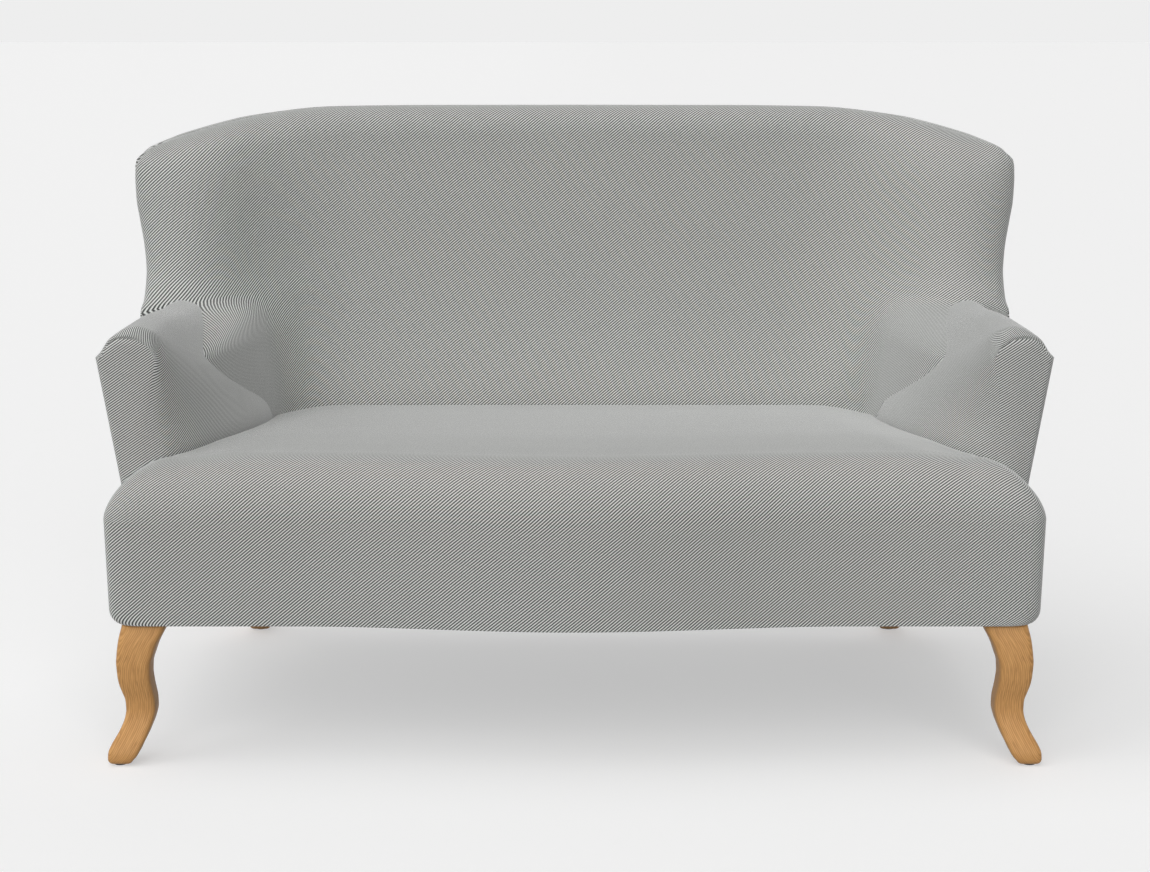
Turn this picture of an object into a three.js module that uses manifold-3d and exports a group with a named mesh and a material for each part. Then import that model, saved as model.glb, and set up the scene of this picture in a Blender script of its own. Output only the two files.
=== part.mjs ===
import * as THREE from 'three';
import Module from 'manifold-3d';

// High back settee: sprung seat, inside back with wings, sloping arms, four curved oak legs.
// Millimetres, X to the right arm, Y to the back, Z up. The seat front is at small Y.

// Overall sizes
const backHeight = 933;
const wingHalfWidth = 729;
const coverBottom = 209;
const coverThickness = 3;
const seamGap = 0.9;
const layerGap = 0.3;

// Seat sizes
const seatFront = 11;
const seatHalfWidth = 688;
const seatBottomTaper = 7;
const seatBottomRadius = 20;
const frontBow = 34;
const bowHalfWidth = 410;
const wallTop = 364;
const seatHeight = 455;
const frontRollDepth = 78;
const endRollWidth = 97;
const seatCrown = 6;
const seatBackHeight = 436;
const seatSideDrop = 8;
const seatTuckDepth = 60;
const cornerSharpness = 7;
const endFullness = 1.65;

// Back sizes
const backRoot = 425;
const seatToBack = 600;
const backLean = 65;
const wingReach = 150;
const wingStart = 330;
const wingMiddle = 555;
const wingCrest = 645;
const sideRollWidth = 72;
const topRollHeight = 48;
const crestDepth = 710;
const wingSeamDepth = 604;
const wingCornerDrop = 85;
const wingCornerHeight = backHeight - wingCornerDrop;
const backFoamThickness = 30;
const edgeFoamThickness = 11;

// Arm sizes
const armFront = 90;
const armEnd = 620;
const armRoot = 425;
const armTop = 638;
const armInner = 514;
const armOuter = 703.5;
const armLowInset = 18;
const armHighInset = 30;
const armSplay = 6;
const armShoulderDrop = 10;
const armRearDrop = 11;
const armDropStart = 220;
const armDropLength = 220;
const armTaperStart = 120;
const armTaperEnd = 480;
const armRollDepth = 100;
const stripInsetShare = 0.67;
const sideBend = 400;
const wingJoin = 474;
const wingJoinLength = 14;
const wingHideDepth = 8;
const armPadThickness = 8.5;

// Outside shell sizes
const shellHalfWidth = 672;
const rearBottom = 740;
const rearTop = 765;
const rearCornerRadius = 110;
const crestRollHeight = 40;

// Frame sizes
const frameBottom = 209;
const railTop = 330;
const blockTop = 344;
const foamFloor = 347;
const railThickness = 28;
const frontRailFace = 27;
const frontRailBack = 54;
const frontBlockDepth = 84;
const blockInner = 605;
const blockOuter = 648;
const sideRailInner = 606;
const sideRailEnd = 698;
const rearRailFace = 694;
const rearBlockInner = 532;
const rearBlockFront = 644;
const centreRailTop = 290;
const postWidth = 40;
const backFrameInset = 129;
const postOuter = wingHalfWidth - backFrameInset;
const rearBlockOuter = 605;
const rearRailBack = 722;
const lowPaddingRoom = 59;
const highPaddingRoom = 47;
const backPlaneLow = seatToBack + lowPaddingRoom;
const backPlaneHigh = seatToBack + backLean + highPaddingRoom;
const postTop = backHeight - topRollHeight;
const backRailDepth = 40;
const lowerRailHeight = 440;
const armPostOuter = 666;
const armPostWidth = 36;
const armPostDepth = 46;
const armPostTop = 585;
const armRailTop = 588;
const armRailEnd = 658;
const armRailInner = 640;
const armRailSize = 40;
const tuckRailSize = 26;
const tuckRailLift = 62;
const tuckRailHeight = railTop + tuckRailLift;
const wingRailInner = 652;
const wingRailFace = 626;
const wingRailDrop = 33;
const wingRailTop = wingCornerHeight - wingRailDrop;

// Spring and cloth sizes
const stripThickness = 10;
const stripWidth = 20;
const stripEndRoom = 45.3;
const wireThickness = 4;
const springPitch = 140;
const springWave = 34;
const springBends = 11;
const hessianThickness = 1.4;
const webbingThickness = 1.4;
const webbingWidth = 60;
const dustThickness = 1.6;
const dustInset = 12;

// Leg sizes
const legTopWidth = 64;
const legWidth = 48;
const ankleWidth = 43;
const soleWidth = 28;
const legEdge = 7;
const frontLegX = 632;
const frontLegY = 50;
const legKick = 38;
const rearLegX = 562;
const rearLegY = 700;
const rearKick = 72;
const glideRadius = 9;
const glideHeight = 3;
const boltRadius = 4;
const boltClearance = 0.4;
const boltDown = 26;
const boltUp = 50;

// Shares of the back height, the wing half width and the other named sizes
const wingWidthShares = [
  [0.44, 0.968], [0.643, 0.968], [0.654, 0.971], [0.708, 0.971], [0.75, 0.976],
  [0.803, 0.989], [0.837, 0.997], [0.881, 1], [0.897, 0.9992], [0.909, 0.996],
];
const crestHeightShares = [
  [0, 1], [0.4, 0.9995], [0.45, 0.999], [0.561, 0.9975], [0.705, 0.9855], [0.782, 0.9737], [0.835, 0.9635],
  [0.8875, 0.952], [0.9125, 0.9445], [0.938, 0.9373], [0.959, 0.9305], [0.978, 0.9208], [0.996, 0.909],
];
const crestDepthShares = [
  [0, 1], [0.41, 1], [0.561, 0.962], [0.705, 0.811], [0.782, 0.613],
  [0.8875, 0.434], [0.959, 0.104], [0.991, 0],
];
const backLeanShares = [
  [0.44, -0.06], [0.466, 0], [0.557, 0.323], [0.6, 0.46], [0.6645, 0.615],
  [0.7395, 0.754], [0.8146, 0.846], [0.943, 1], [1, 1.03],
];
const wingReachShares = [
  [0.44, 0.36], [0.466, 0.4], [0.493, 0.653], [0.563, 1], [0.6645, 1], [0.7074, 0.853],
  [0.791, 0.72], [0.881, 0.613], [0.924, 0.48], [0.9646, 0.3], [1, 0.2],
];
const wingSeamShares = [
  [0.44, 0.95], [0.466, 0.93], [0.493, 0.87], [0.563, 0.83], [0.643, 0.82], [0.654, 0.828], [0.668, 0.8775], [0.683, 0.902],
  [0.7074, 0.927], [0.75, 0.952], [0.803, 0.977], [0.837, 0.988], [0.881, 0.997], [0.909, 1],
];
const armSectionShares = [
  [0, 0], [0.043, 0.141], [0.167, 0.352], [0.301, 0.587], [0.419, 0.775], [0.495, 0.892],
  [0.57, 0.967], [0.677, 1], [0.747, 0.988], [0.812, 0.96], [0.895, 0.908], [0.957, 0.825], [1, 0.785],
];
const armFaceShares = [
  [0.53, 0], [0.555, 0.141], [0.59, 0.352], [0.565, 0.587], [0.53, 0.75], [0.565, 0.84],
  [0.625, 0.89], [0.7, 0.915], [0.755, 0.921], [0.812, 0.919], [0.875, 0.898], [0.925, 0.855], [0.95, 0.785],
];
const armRollShares = [3.3, 3.2, 2.8, 2, 1.1, 0.5, 0.24, 0.17, 0.17, 0.17, 0.16, 0.15, 0.15];
const seatProfileShares = [
  [0, 0, 0], [0.1, 0.7, 0], [0.2, 1, 0], [0.38, 0.8, 0.12], [0.56, 0.6, 0.35],
  [0.74, 0.3, 0.6], [0.88, 0.1, 0.82], [1, 0, 1],
];
const columnShares = [0.13, 0.27, 0.4, 0.5, 0.59, 0.67, 0.745, 0.81, 0.865, 0.905, 0.935, 0.962, 0.985, 1];
const rowShares = [0, 0.03, 0.08, 0.16, 0.24, 0.33, 0.405, 0.455, 0.53, 0.62, 0.71, 0.79, 0.86, 0.91, 0.95, 0.98, 1];

// Reading a table of shares
function readShares(table, at) {
  const last = table.length - 1;
  if (at <= table[0][0]) return table[0][1];
  if (at >= table[last][0]) return table[last][1];
  let i = 0;
  while (table[i + 1][0] < at) i += 1;
  const t = (at - table[i][0]) / (table[i + 1][0] - table[i][0]);
  return table[i][1] + t * (table[i + 1][1] - table[i][1]);
}

function clampShare(value) {
  return Math.min(1, Math.max(0, value));
}

function easeShare(value) {
  const t = clampShare(value);
  return t * t * (3 - 2 * t);
}

// Point lists and faces
function weld(points, faces) {
  const seen = new Map();
  const kept = [];
  const index = points.map((p) => {
    const key = p.map((v) => Math.round(v * 1000)).join(',');
    if (!seen.has(key)) {
      seen.set(key, kept.length);
      kept.push(p);
    }
    return seen.get(key);
  });
  const triangles = [];
  for (const face of faces) {
    const leftward = face.length === 4 && face.reduce((sum, i) => sum + points[i][0], 0) < 0;
    const turned = leftward ? [...face.slice(1), face[0]] : face;
    const ring = turned.map((i) => index[i]).filter((v, i, all) => v !== all[(i + 1) % all.length]);
    for (let i = 1; i + 1 < ring.length; i += 1) {
      if (new Set([ring[0], ring[i], ring[i + 1]]).size === 3) triangles.push([ring[0], ring[i], ring[i + 1]]);
    }
  }
  return { points: kept, faces: triangles, index };
}

function makePatch() {
  return { points: [], faces: [] };
}

function addGrid(patch, rows, turned = false) {
  const start = patch.points.length;
  const count = rows[0].length;
  for (const row of rows) patch.points.push(...row);
  for (let i = 0; i + 1 < rows.length; i += 1) {
    for (let j = 0; j + 1 < count; j += 1) {
      const a = start + i * count + j;
      const ring = [a, a + 1, a + 1 + count, a + count];
      patch.faces.push(turned ? ring.reverse() : ring);
    }
  }
}

function vertexNormals(points, faces) {
  const normals = points.map(() => new THREE.Vector3());
  const corner = faces.map((face) => face.map((i) => new THREE.Vector3(...points[i])));
  faces.forEach((face, f) => {
    for (let k = 0; k < 3; k += 1) {
      const here = corner[f][k];
      const next = corner[f][(k + 1) % 3].clone().sub(here);
      const past = corner[f][(k + 2) % 3].clone().sub(here);
      const turn = next.angleTo(past);
      normals[face[k]].addScaledVector(next.cross(past).normalize(), turn);
    }
  });
  return normals.map((n) => n.normalize());
}

function boundaryEdges(faces) {
  const edges = new Map();
  for (const face of faces) {
    for (let k = 0; k < 3; k += 1) edges.set(face[k] + '_' + face[(k + 1) % 3], [face[k], face[(k + 1) % 3]]);
  }
  return [...edges.values()].filter(([a, b]) => !edges.has(b + '_' + a));
}

// A sheet of cloth or foam between two distances below a skin
function layer(patch, from, to, steer = (p, n) => n, bound = (p, q) => q) {
  const skin = weld(patch.points, patch.faces);
  const normals = vertexNormals(skin.points, skin.faces).map((n, i) => steer(skin.points[i], n).normalize());
  const depth = typeof to === 'function' ? to : () => to;
  const shifted = (far) => skin.points.map((p, i) => {
    const d = far ? depth(p) : from;
    return bound(p, [p[0] - normals[i].x * d, p[1] - normals[i].y * d, p[2] - normals[i].z * d]);
  });
  const count = skin.points.length;
  const faces = skin.faces.map((f) => [...f]);
  for (const f of skin.faces) faces.push([f[2] + count, f[1] + count, f[0] + count]);
  for (const [a, b] of boundaryEdges(skin.faces)) {
    faces.push([b, a, a + count]);
    faces.push([b, a + count, b + count]);
  }
  return { points: [...shifted(false), ...shifted(true)], faces };
}

// A bar whose cross section, a closed loop, is carried through several stations
function loft(stations) {
  const points = stations.flat();
  const count = stations[0].length;
  const faces = [];
  for (let i = 0; i + 1 < stations.length; i += 1) {
    for (let j = 0; j < count; j += 1) {
      const k = (j + 1) % count;
      faces.push([i * count + j, i * count + k, (i + 1) * count + k, (i + 1) * count + j]);
    }
  }
  const last = (stations.length - 1) * count;
  faces.push([...Array(count).keys()].reverse());
  faces.push([...Array(count).keys()].map((j) => last + j));
  return weld(points, faces);
}

function box(x0, x1, y0, y1, z0, z1) {
  const ring = (z) => [[x0, y0, z], [x1, y0, z], [x1, y1, z], [x0, y1, z]];
  return loft([ring(z0), ring(z1)]);
}

function upright(outline, z0, z1, holes = []) {
  const shape = new THREE.Shape(outline.map(([x, y]) => new THREE.Vector2(x, y)));
  for (const hole of holes) shape.holes.push(new THREE.Path(hole.map(([x, y]) => new THREE.Vector2(x, y))));
  const raised = new THREE.ExtrudeGeometry(shape, { depth: z1 - z0, bevelEnabled: false, steps: 1 });
  const position = raised.attributes.position;
  const points = [];
  const faces = [];
  for (let i = 0; i < position.count; i += 1) {
    points.push([position.getX(i), position.getY(i), position.getZ(i) + z0]);
    if (i % 3 === 2) faces.push([i - 2, i - 1, i]);
  }
  return weld(points, faces);
}

function circle(x, y, radius, steps) {
  return [...Array(steps).keys()].map((i) => {
    const turn = (i / steps) * Math.PI * 2;
    return [x + radius * Math.cos(turn), y + radius * Math.sin(turn)];
  });
}

function mirrored(solid) {
  return {
    points: solid.points.map(([x, y, z]) => [-x, y, z]),
    faces: solid.faces.map((face) => [...face].reverse()),
  };
}

// Solids that cut one another
const wasm = await Module();
wasm.setup();

function outward(solid) {
  const whole = weld(solid.points, solid.faces);
  let volume = 0;
  for (const [a, b, c] of whole.faces) {
    const [p, q, r] = [a, b, c].map((i) => new THREE.Vector3(...whole.points[i]));
    volume += p.dot(q.cross(r));
  }
  if (volume < 0) whole.faces = whole.faces.map((face) => [...face].reverse());
  return whole;
}

function body(solid) {
  const whole = outward(solid);
  return new wasm.Manifold(new wasm.Mesh({
    numProp: 3,
    vertProperties: new Float32Array(whole.points.flat()),
    triVerts: new Uint32Array(whole.faces.flat()),
  }));
}

function largestPiece(manifold) {
  const mesh = manifold.getMesh();
  const points = [];
  for (let i = 0; i < mesh.numVert; i += 1) {
    points.push([...mesh.vertProperties.slice(i * mesh.numProp, i * mesh.numProp + 3)]);
  }
  const faces = [];
  for (let i = 0; i < mesh.numTri; i += 1) faces.push([...mesh.triVerts.slice(i * 3, i * 3 + 3)]);
  const whole = weld(points, faces);
  const parent = whole.points.map((_, i) => i);
  const root = (i) => {
    let r = i;
    while (parent[r] !== r) r = parent[r];
    parent[i] = r;
    return r;
  };
  for (const [a, b, c] of whole.faces) {
    parent[root(a)] = root(b);
    parent[root(b)] = root(c);
  }
  const counts = new Map();
  for (const [a] of whole.faces) counts.set(root(a), (counts.get(root(a)) ?? 0) + 1);
  const best = [...counts.entries()].sort((a, b) => b[1] - a[1])[0][0];
  const triangles = whole.faces.filter(([a]) => root(a) === best);
  return weld(whole.points, triangles);
}

// Seat shape
function frontLine(x) {
  const t = Math.min(1, Math.abs(x) / bowHalfWidth);
  return seatFront - (frontBow * (1 + Math.cos(Math.PI * t))) / 2;
}

function taperShare(y) {
  return easeShare((y - armTaperStart) / (armTaperEnd - armTaperStart));
}

function armSideAt(y) {
  const turn = Math.acos(1 - clampShare((y - armFront) / (armRollDepth * armRollShares[0])));
  const face = armInner + (armOuter - armInner) * armFaceShares[0][0];
  return face + (armInner - face) * Math.sin(turn) - armLowInset * taperShare(y);
}

const seatShares = [1, 0.93, 0.84, 0.73, 0.6, 0.45, 0.3, 0.15, 0];
const seatAcrossShares = [...seatShares, ...seatShares.slice(0, -1).reverse().map((t) => -t)];

function endDrop(t) {
  return easeShare((Math.abs(t) - 0.82) / 0.18);
}

function seatSkin(margin, withTuck, lowest, hollow = false) {
  const patch = makePatch();
  const coreX = seatHalfWidth - endRollWidth - margin;
  const coreY = seatFront + frontRollDepth;
  const rim = [0, 0.45, 0.74, 0.86];
  const corner = 0.5 ** (1 / cornerSharpness);
  const other = (a) => (1 - a ** cornerSharpness) ** (1 / cornerSharpness);
  const turns = [...rim.map((a) => [a, other(a)]), [corner, corner], ...[0.86, 0.74, 0.45].map((b) => [other(b), b])];
  const columns = [
    ...turns.map(([a, b]) => ({ x: coreX, a, b, t: 1, side: 1 })),
    ...seatAcrossShares.map((t) => ({ x: coreX * t, a: 1, b: 0, t, side: 1 })),
    ...[...turns].reverse().map(([a, b]) => ({ x: -coreX, a, b, t: 1, side: -1 })),
  ];
  const place = (column, s, inset) => {
    const bow = frontLine(column.x) - seatFront;
    if (hollow) {
      const square = (share) => Math.min(1, share / corner);
      const wide = blockOuter + layerGap * 3 - coreX;
      const deep = coreY - frontRailFace + layerGap * 3;
      return [column.x + column.side * wide * square(column.b) * s, coreY + bow - deep * square(column.a) * s];
    }
    const reach = seatHalfWidth - coreX - inset;
    const x = column.x + column.side * reach * column.b * s;
    return [x, coreY + bow - frontRollDepth * column.a * s];
  };
  const rows = [];
  const drop = wallTop - coverBottom;
  for (const t of [0, 0.055, 0.13, 0.4, 0.7, 1]) {
    const z = coverBottom + drop * t;
    if (z < lowest) continue;
    const under = clampShare(1 - (z - coverBottom) / seatBottomRadius);
    const inset = seatBottomTaper * (1 - t) + seatBottomRadius * (1 - Math.sqrt(1 - under * under));
    rows.push(columns.map((column) => [...place(column, 1, inset), z]));
  }
  for (const turn of [24, 48, 70, 90]) {
    const share = turn === 90 ? 0 : Math.cos((turn * Math.PI) / 180);
    rows.push(columns.map((column) => {
      const power = 2 + (endFullness - 2) * column.b ** 2;
      const rise = (1 - share ** power) ** (1 / power);
      const crest = seatHeight - seatSideDrop * endDrop(column.t);
      return [...place(column, share, 0), wallTop + (crest - wallTop) * rise];
    }));
  }
  addGrid(patch, rows, true);
  const top = [0, 0.011, 0.024, 0.06, 0.12, 0.2, 0.34, 0.5, 0.66, 0.82, 0.93, 1].map((w) => {
    const sideY = coreY + (seatBackLine(armInner) - coreY) * w;
    const sideX = Math.min(coreX, armSideAt(sideY) - seamGap * 3 - margin);
    return seatAcrossShares.map((t) => {
      const x = sideX * t;
      const start = coreY + frontLine(x) - seatFront;
      const y = start + (seatBackLine(x) - margin - start) * w;
      const crown = readShares(seatProfileShares.map(([at, rise]) => [at, rise]), w);
      const fall = readShares(seatProfileShares.map(([at, , low]) => [at, low]), w);
      const z = seatHeight + seatCrown * crown - (seatHeight - seatBackHeight) * fall - seatSideDrop * endDrop(t);
      return [x, y, z];
    });
  });
  addGrid(patch, top, true);
  if (withTuck) {
    const edges = [top.map((row) => row[0]), top.map((row) => row[row.length - 1])];
    const behind = (line) => line.slice(4);
    const sunk = (line) => behind(line).map(([x, y, z]) => [x, y, z - seatTuckDepth]);
    addGrid(patch, [behind(edges[0]), sunk(edges[0])], true);
    addGrid(patch, [behind(edges[1]), sunk(edges[1])], false);
  }
  return patch;
}

// Back shape
function wingWidth(z) {
  return wingHalfWidth * readShares(wingWidthShares, z / backHeight);
}

function crestHeight(x) {
  return backHeight * readShares(crestHeightShares, Math.abs(x) / wingHalfWidth);
}

function crestLine(x) {
  return wingSeamDepth + (crestDepth - wingSeamDepth) * readShares(crestDepthShares, Math.abs(x) / wingHalfWidth);
}

function backLine(x, z) {
  const at = Math.abs(x);
  const rise = wingMiddle - wingStart;
  const fall = wingCrest - wingMiddle;
  const total = wingReach * readShares(wingReachShares, z / backHeight);
  const bend = total / ((rise * (rise + fall)) / 2);
  let forward = total;
  if (at < wingStart) forward = 0;
  else if (at < wingMiddle) forward = (bend * (at - wingStart) ** 2) / 2;
  else if (at < wingCrest) {
    const past = at - wingMiddle;
    forward = bend * ((rise * rise) / 2 + rise * past - (rise * past * past) / (2 * fall));
  }
  return seatToBack + backLean * readShares(backLeanShares, z / backHeight) - forward;
}

function seatBackLine(x) {
  return backLine(x, seatBackHeight + seamGap * 3) - seamGap * 2.5;
}

function backSkin() {
  const half = columnShares.map((u) => -u).reverse();
  const across = [...half, 0, ...columnShares];
  const patch = makePatch();
  const rows = rowShares.map((v) => {
    const sideZ = backRoot + (wingCornerHeight - backRoot) * v;
    const seamY = wingSeamDepth * readShares(wingSeamShares, sideZ / backHeight);
    return across.map((u) => {
      const t = Math.abs(u);
      const side = Math.sign(u);
      const cornerX = wingWidth(wingCornerHeight);
      const crestX = cornerX * t;
      const x = v * crestX + (1 - v) * wingWidth(backRoot) * t + t * (wingWidth(sideZ) - v * cornerX - (1 - v) * wingWidth(backRoot));
      const middleZ = backRoot + (backHeight - backRoot) * v;
      const z = v * crestHeight(crestX) + (1 - v) * backRoot
        + (1 - t) * (middleZ - v * backHeight - (1 - v) * backRoot)
        + t * (sideZ - v * wingCornerHeight - (1 - v) * backRoot);
      const sideRoll = clampShare(1 - ((1 - t) * wingWidth(sideZ)) / sideRollWidth);
      const topRoll = clampShare(1 - ((1 - v) * (crestHeight(crestX) - backRoot)) / topRollHeight);
      const power = 3;
      const both = sideRoll ** power + topRoll ** power;
      const reach = Math.min(1, both ** (1 / power));
      const edgeY = both > 0 ? (sideRoll ** power * seamY + topRoll ** power * crestLine(crestX)) / both : 0;
      const y = backLine(x, z);
      const around = 1 - Math.sqrt(1 - reach * reach);
      return [side * x, y + (edgeY - y) * around, z];
    });
  });
  addGrid(patch, rows);
  return patch;
}

// Arm shape on the right side
function shellWidth(y, z) {
  const seamHeight = armRoot + (armTop - armRoot) * armSectionShares[12][1];
  const edge = armOuter + armSplay * taperShare(y);
  if (z <= sideBend) return shellHalfWidth;
  if (z < seamHeight) return shellHalfWidth + ((edge - shellHalfWidth) * (z - sideBend)) / (seamHeight - sideBend);
  const above = clampShare((z - seamHeight) / (armTop - seamHeight));
  return edge * (1 - above) + wingWidth(z) * above;
}

function armPoint(i, y) {
  const [across, up] = armSectionShares[i];
  const inner = clampShare((0.7 - across) / 0.5);
  const outer = clampShare((across - 0.6) / 0.4);
  const inset = armLowInset + (armHighInset - armLowInset) * up;
  const hidden = wingHideDepth * easeShare((y - wingJoin) / wingJoinLength);
  const x = armInner + (armOuter - armInner) * across;
  const shoulder = easeShare((across - 0.7) / 0.15) * easeShare((1 - across) / 0.08);
  const rear = up * up * easeShare((1 - across) / 0.1) * easeShare((y - armDropStart) / armDropLength);
  const z = armRoot + (armTop - armRoot) * up - armShoulderDrop * shoulder * taperShare(y) - armRearDrop * rear;
  return [x - inset * inner * taperShare(y) + armSplay * outer * taperShare(y) - hidden * outer, z];
}

function armSkin(withStrip) {
  const patch = makePatch();
  const last = armSectionShares.length - 1;
  const seamHeight = armRoot + (armTop - armRoot) * armSectionShares[last][1];
  const faceAt = (i) => {
    const [across, up] = armFaceShares[i];
    return [armInner + (armOuter - armInner) * across, armRoot + (armTop - armRoot) * up];
  };
  const strip = [0.86, 0.68, 0.5, 0.24, 0].map((t) => {
    const z = coverBottom + (seamHeight - coverBottom) * t;
    return [shellWidth(armFront, z), z];
  });
  const radius = armRollDepth * armRollShares[last];
  const turns = [0, 22.5, 45, 67.5, 90].map((turn) => (turn * Math.PI) / 180);
  const rings = turns.map((turn) => armSectionShares.map((_, i) => {
    const y = armFront + armRollDepth * armRollShares[i] * (1 - Math.cos(turn));
    const [fx, fz] = faceAt(i);
    const [sx, sz] = armPoint(i, y);
    return [fx + (sx - fx) * Math.sin(turn), y, fz + (sz - fz) * Math.sin(turn)];
  }));
  const edges = turns.map((turn) => strip.map(([x, z]) => (
    [x - radius * stripInsetShare * (1 - Math.sin(turn)), armFront + radius * (1 - Math.cos(turn)), z]
  )));
  for (const t of [0.12, 0.3, 0.5, 0.68, 0.8, 0.9, 1]) {
    rings.push(armSectionShares.map((_, i) => {
      const start = armFront + armRollDepth * armRollShares[i];
      const y = start + (armEnd - start) * t;
      const [x, z] = armPoint(i, y);
      return [x, y, z];
    }));
  }
  addGrid(patch, rings);
  if (withStrip) addGrid(patch, edges.map((edge, k) => [rings[k][last], ...edge]));
  const loop = [...rings[0], ...edges[0]];
  const left = loop.slice(0, loop.length / 2);
  const right = loop.slice(loop.length / 2).reverse();
  addGrid(patch, left.map((p, i) => [p, right[i]]));
  return patch;
}

function armVolume(grow, side) {
  const ys = [0, 0.2, 0.4, 0.6, 0.8, 1].map((t) => armTaperStart + (rearTop - armTaperStart) * t);
  const stations = ys.map((y) => {
    const line = armSectionShares.map((_, i) => armPoint(i, Math.min(y, wingJoin)));
    const grown = line.map(([x, z], i) => {
      const [ax, az] = line[Math.max(0, i - 1)];
      const [bx, bz] = line[Math.min(line.length - 1, i + 1)];
      const length = Math.hypot(bx - ax, bz - az);
      return [x - ((bz - az) / length) * grow, z + ((bx - ax) / length) * grow];
    });
    const [lastX, lastZ] = grown[grown.length - 1];
    const outline = [[grown[0][0], armRoot - seatTuckDepth], ...grown];
    outline.push([lastX + seatTuckDepth, lastZ], [lastX + seatTuckDepth, armRoot - seatTuckDepth]);
    return outline.map(([x, z]) => [x, y, z]);
  });
  const solid = loft(stations);
  return side > 0 ? solid : mirrored(solid);
}

// Outside shell shape
function rearLine(z) {
  return rearBottom + ((rearTop - rearBottom) * (z - coverBottom)) / (backHeight - coverBottom);
}

function sideSkin() {
  const patch = makePatch();
  const start = armFront + armRollDepth * armRollShares[armRollShares.length - 1] + seamGap;
  const seamHeight = armRoot + (armTop - armRoot) * armSectionShares[armSectionShares.length - 1][1];
  const wingFoot = wingSeamDepth * readShares(wingSeamShares, seamHeight / backHeight);
  const tops = [0, 0.25, 0.5, 0.75, 1].map((t) => [start + (wingFoot - start) * t, seamHeight]);
  for (const v of rowShares) {
    const z = backRoot + (wingCornerHeight - backRoot) * v;
    const y = wingSeamDepth * readShares(wingSeamShares, z / backHeight) + seamGap;
    if (z > seamHeight + seamGap * 8) tops.push([y, Math.min(z, wingCornerHeight - coverThickness * 2)]);
  }
  addGrid(patch, tops.map(([y, top]) => [0, 0.16, 0.32, 0.5, 0.68, 0.84, 1].map((v) => {
    const z = coverBottom + (top - seamGap - coverBottom) * v;
    return [shellWidth(y, z), y, z];
  })));
  return patch;
}

function rearSkin() {
  const patch = makePatch();
  const corner = wingWidth(wingCornerHeight);
  const round = 8;
  const crests = [...[...columnShares].reverse(), 0];
  const columns = crests.map((crest, i) => {
    if (i < 2) return { turn: 0, along: i / 2, crest };
    if (i < round) return { turn: (90 * (i - 2)) / (round - 3), along: 1, crest };
    return { turn: 90, along: 1, crest, flat: crest / crests[round - 1] };
  });
  const start = wingSeamDepth + seamGap * 2;
  const lines = columns.map((column) => {
    const angle = (column.turn * Math.PI) / 180;
    const crestX = corner * column.crest;
    const crestZ = crestHeight(crestX);
    const crestY = column.along === 0 ? start : crestLine(crestX) + seamGap * 2;
    const rollStart = crestZ - crestRollHeight;
    const plan = (z) => {
      const wide = shellWidth(wingSeamDepth, z);
      const back = rearLine(z);
      if (column.flat !== undefined) return [(wide - rearCornerRadius) * column.flat, back];
      if (column.along < 1) return [wide, start + (back - rearCornerRadius - start) * column.along];
      const x = wide - rearCornerRadius * (1 - Math.cos(angle));
      return [x, back - rearCornerRadius * (1 - Math.sin(angle))];
    };
    const points = [0, 0.2, 0.4, 0.6, 0.8, 1].map((v) => {
      const z = coverBottom + (rollStart - coverBottom) * v;
      return [...plan(z), z];
    });
    const [px, py, pz] = points[points.length - 1];
    for (const turn of [22.5, 45, 67.5, 90]) {
      const roll = (turn * Math.PI) / 180;
      const inward = 1 - Math.cos(roll);
      points.push([
        px + (crestX - px) * inward, py + (crestY - py) * inward, pz + (crestZ - pz) * Math.sin(roll),
      ]);
    }
    return points;
  });
  const others = lines.slice(0, -1).reverse().map((line) => line.map(([x, y, z]) => [-x, y, z]));
  addGrid(patch, [...lines, ...others], true);
  return patch;
}

// Frame shapes
function backPlane(z) {
  return backPlaneLow + ((backPlaneHigh - backPlaneLow) * (z - lowerRailHeight)) / (postTop - lowerRailHeight);
}

function leaning(x0, x1, near, far, z0, z1) {
  const ring = (z) => [
    [x0, backPlane(z) + near, z], [x1, backPlane(z) + near, z],
    [x1, backPlane(z) + far, z], [x0, backPlane(z) + far, z],
  ];
  return loft([ring(z0), ring(z1)]);
}

function frontRail() {
  const reach = blockInner - layerGap;
  const half = seatHalfWidth - endRollWidth;
  const bowed = [-1, ...seatAcrossShares, 1].map((t, i, all) => {
    const x = i === 0 || i === all.length - 1 ? reach * t : -half * t;
    return [x, frontRailFace + frontLine(x) - seatFront];
  });
  return upright([...bowed, [reach, frontRailBack], [-reach, frontRailBack]], frameBottom, railTop);
}

function seatFoam() {
  const floor = frameBottom + layerGap;
  const patch = seatSkin(seamGap * 5, false, floor);
  const gap = coverThickness + layerGap * 4;
  const skin = weld(patch.points, patch.faces);
  const normals = vertexNormals(skin.points, skin.faces);
  const outer = skin.points.map(([x, y, z], i) => {
    const n = normals[i];
    return [x - n.x * gap, y - n.y * gap, z - n.z * gap];
  });
  const count = outer.length;
  const core = seatSkin(seamGap * 5, false, floor, true).points;
  const inner = [];
  skin.index.forEach((k, i) => {
    inner[k] = [core[i][0], core[i][1], Math.min(core[i][2], foamFloor)];
  });
  const faces = skin.faces.map((f) => [...f]);
  for (const f of skin.faces) faces.push([f[2] + count, f[1] + count, f[0] + count]);
  for (const [a, b] of boundaryEdges(skin.faces)) {
    faces.push([b, a, a + count]);
    faces.push([b, a + count, b + count]);
  }
  return weld([...outer, ...inner], faces);
}

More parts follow.
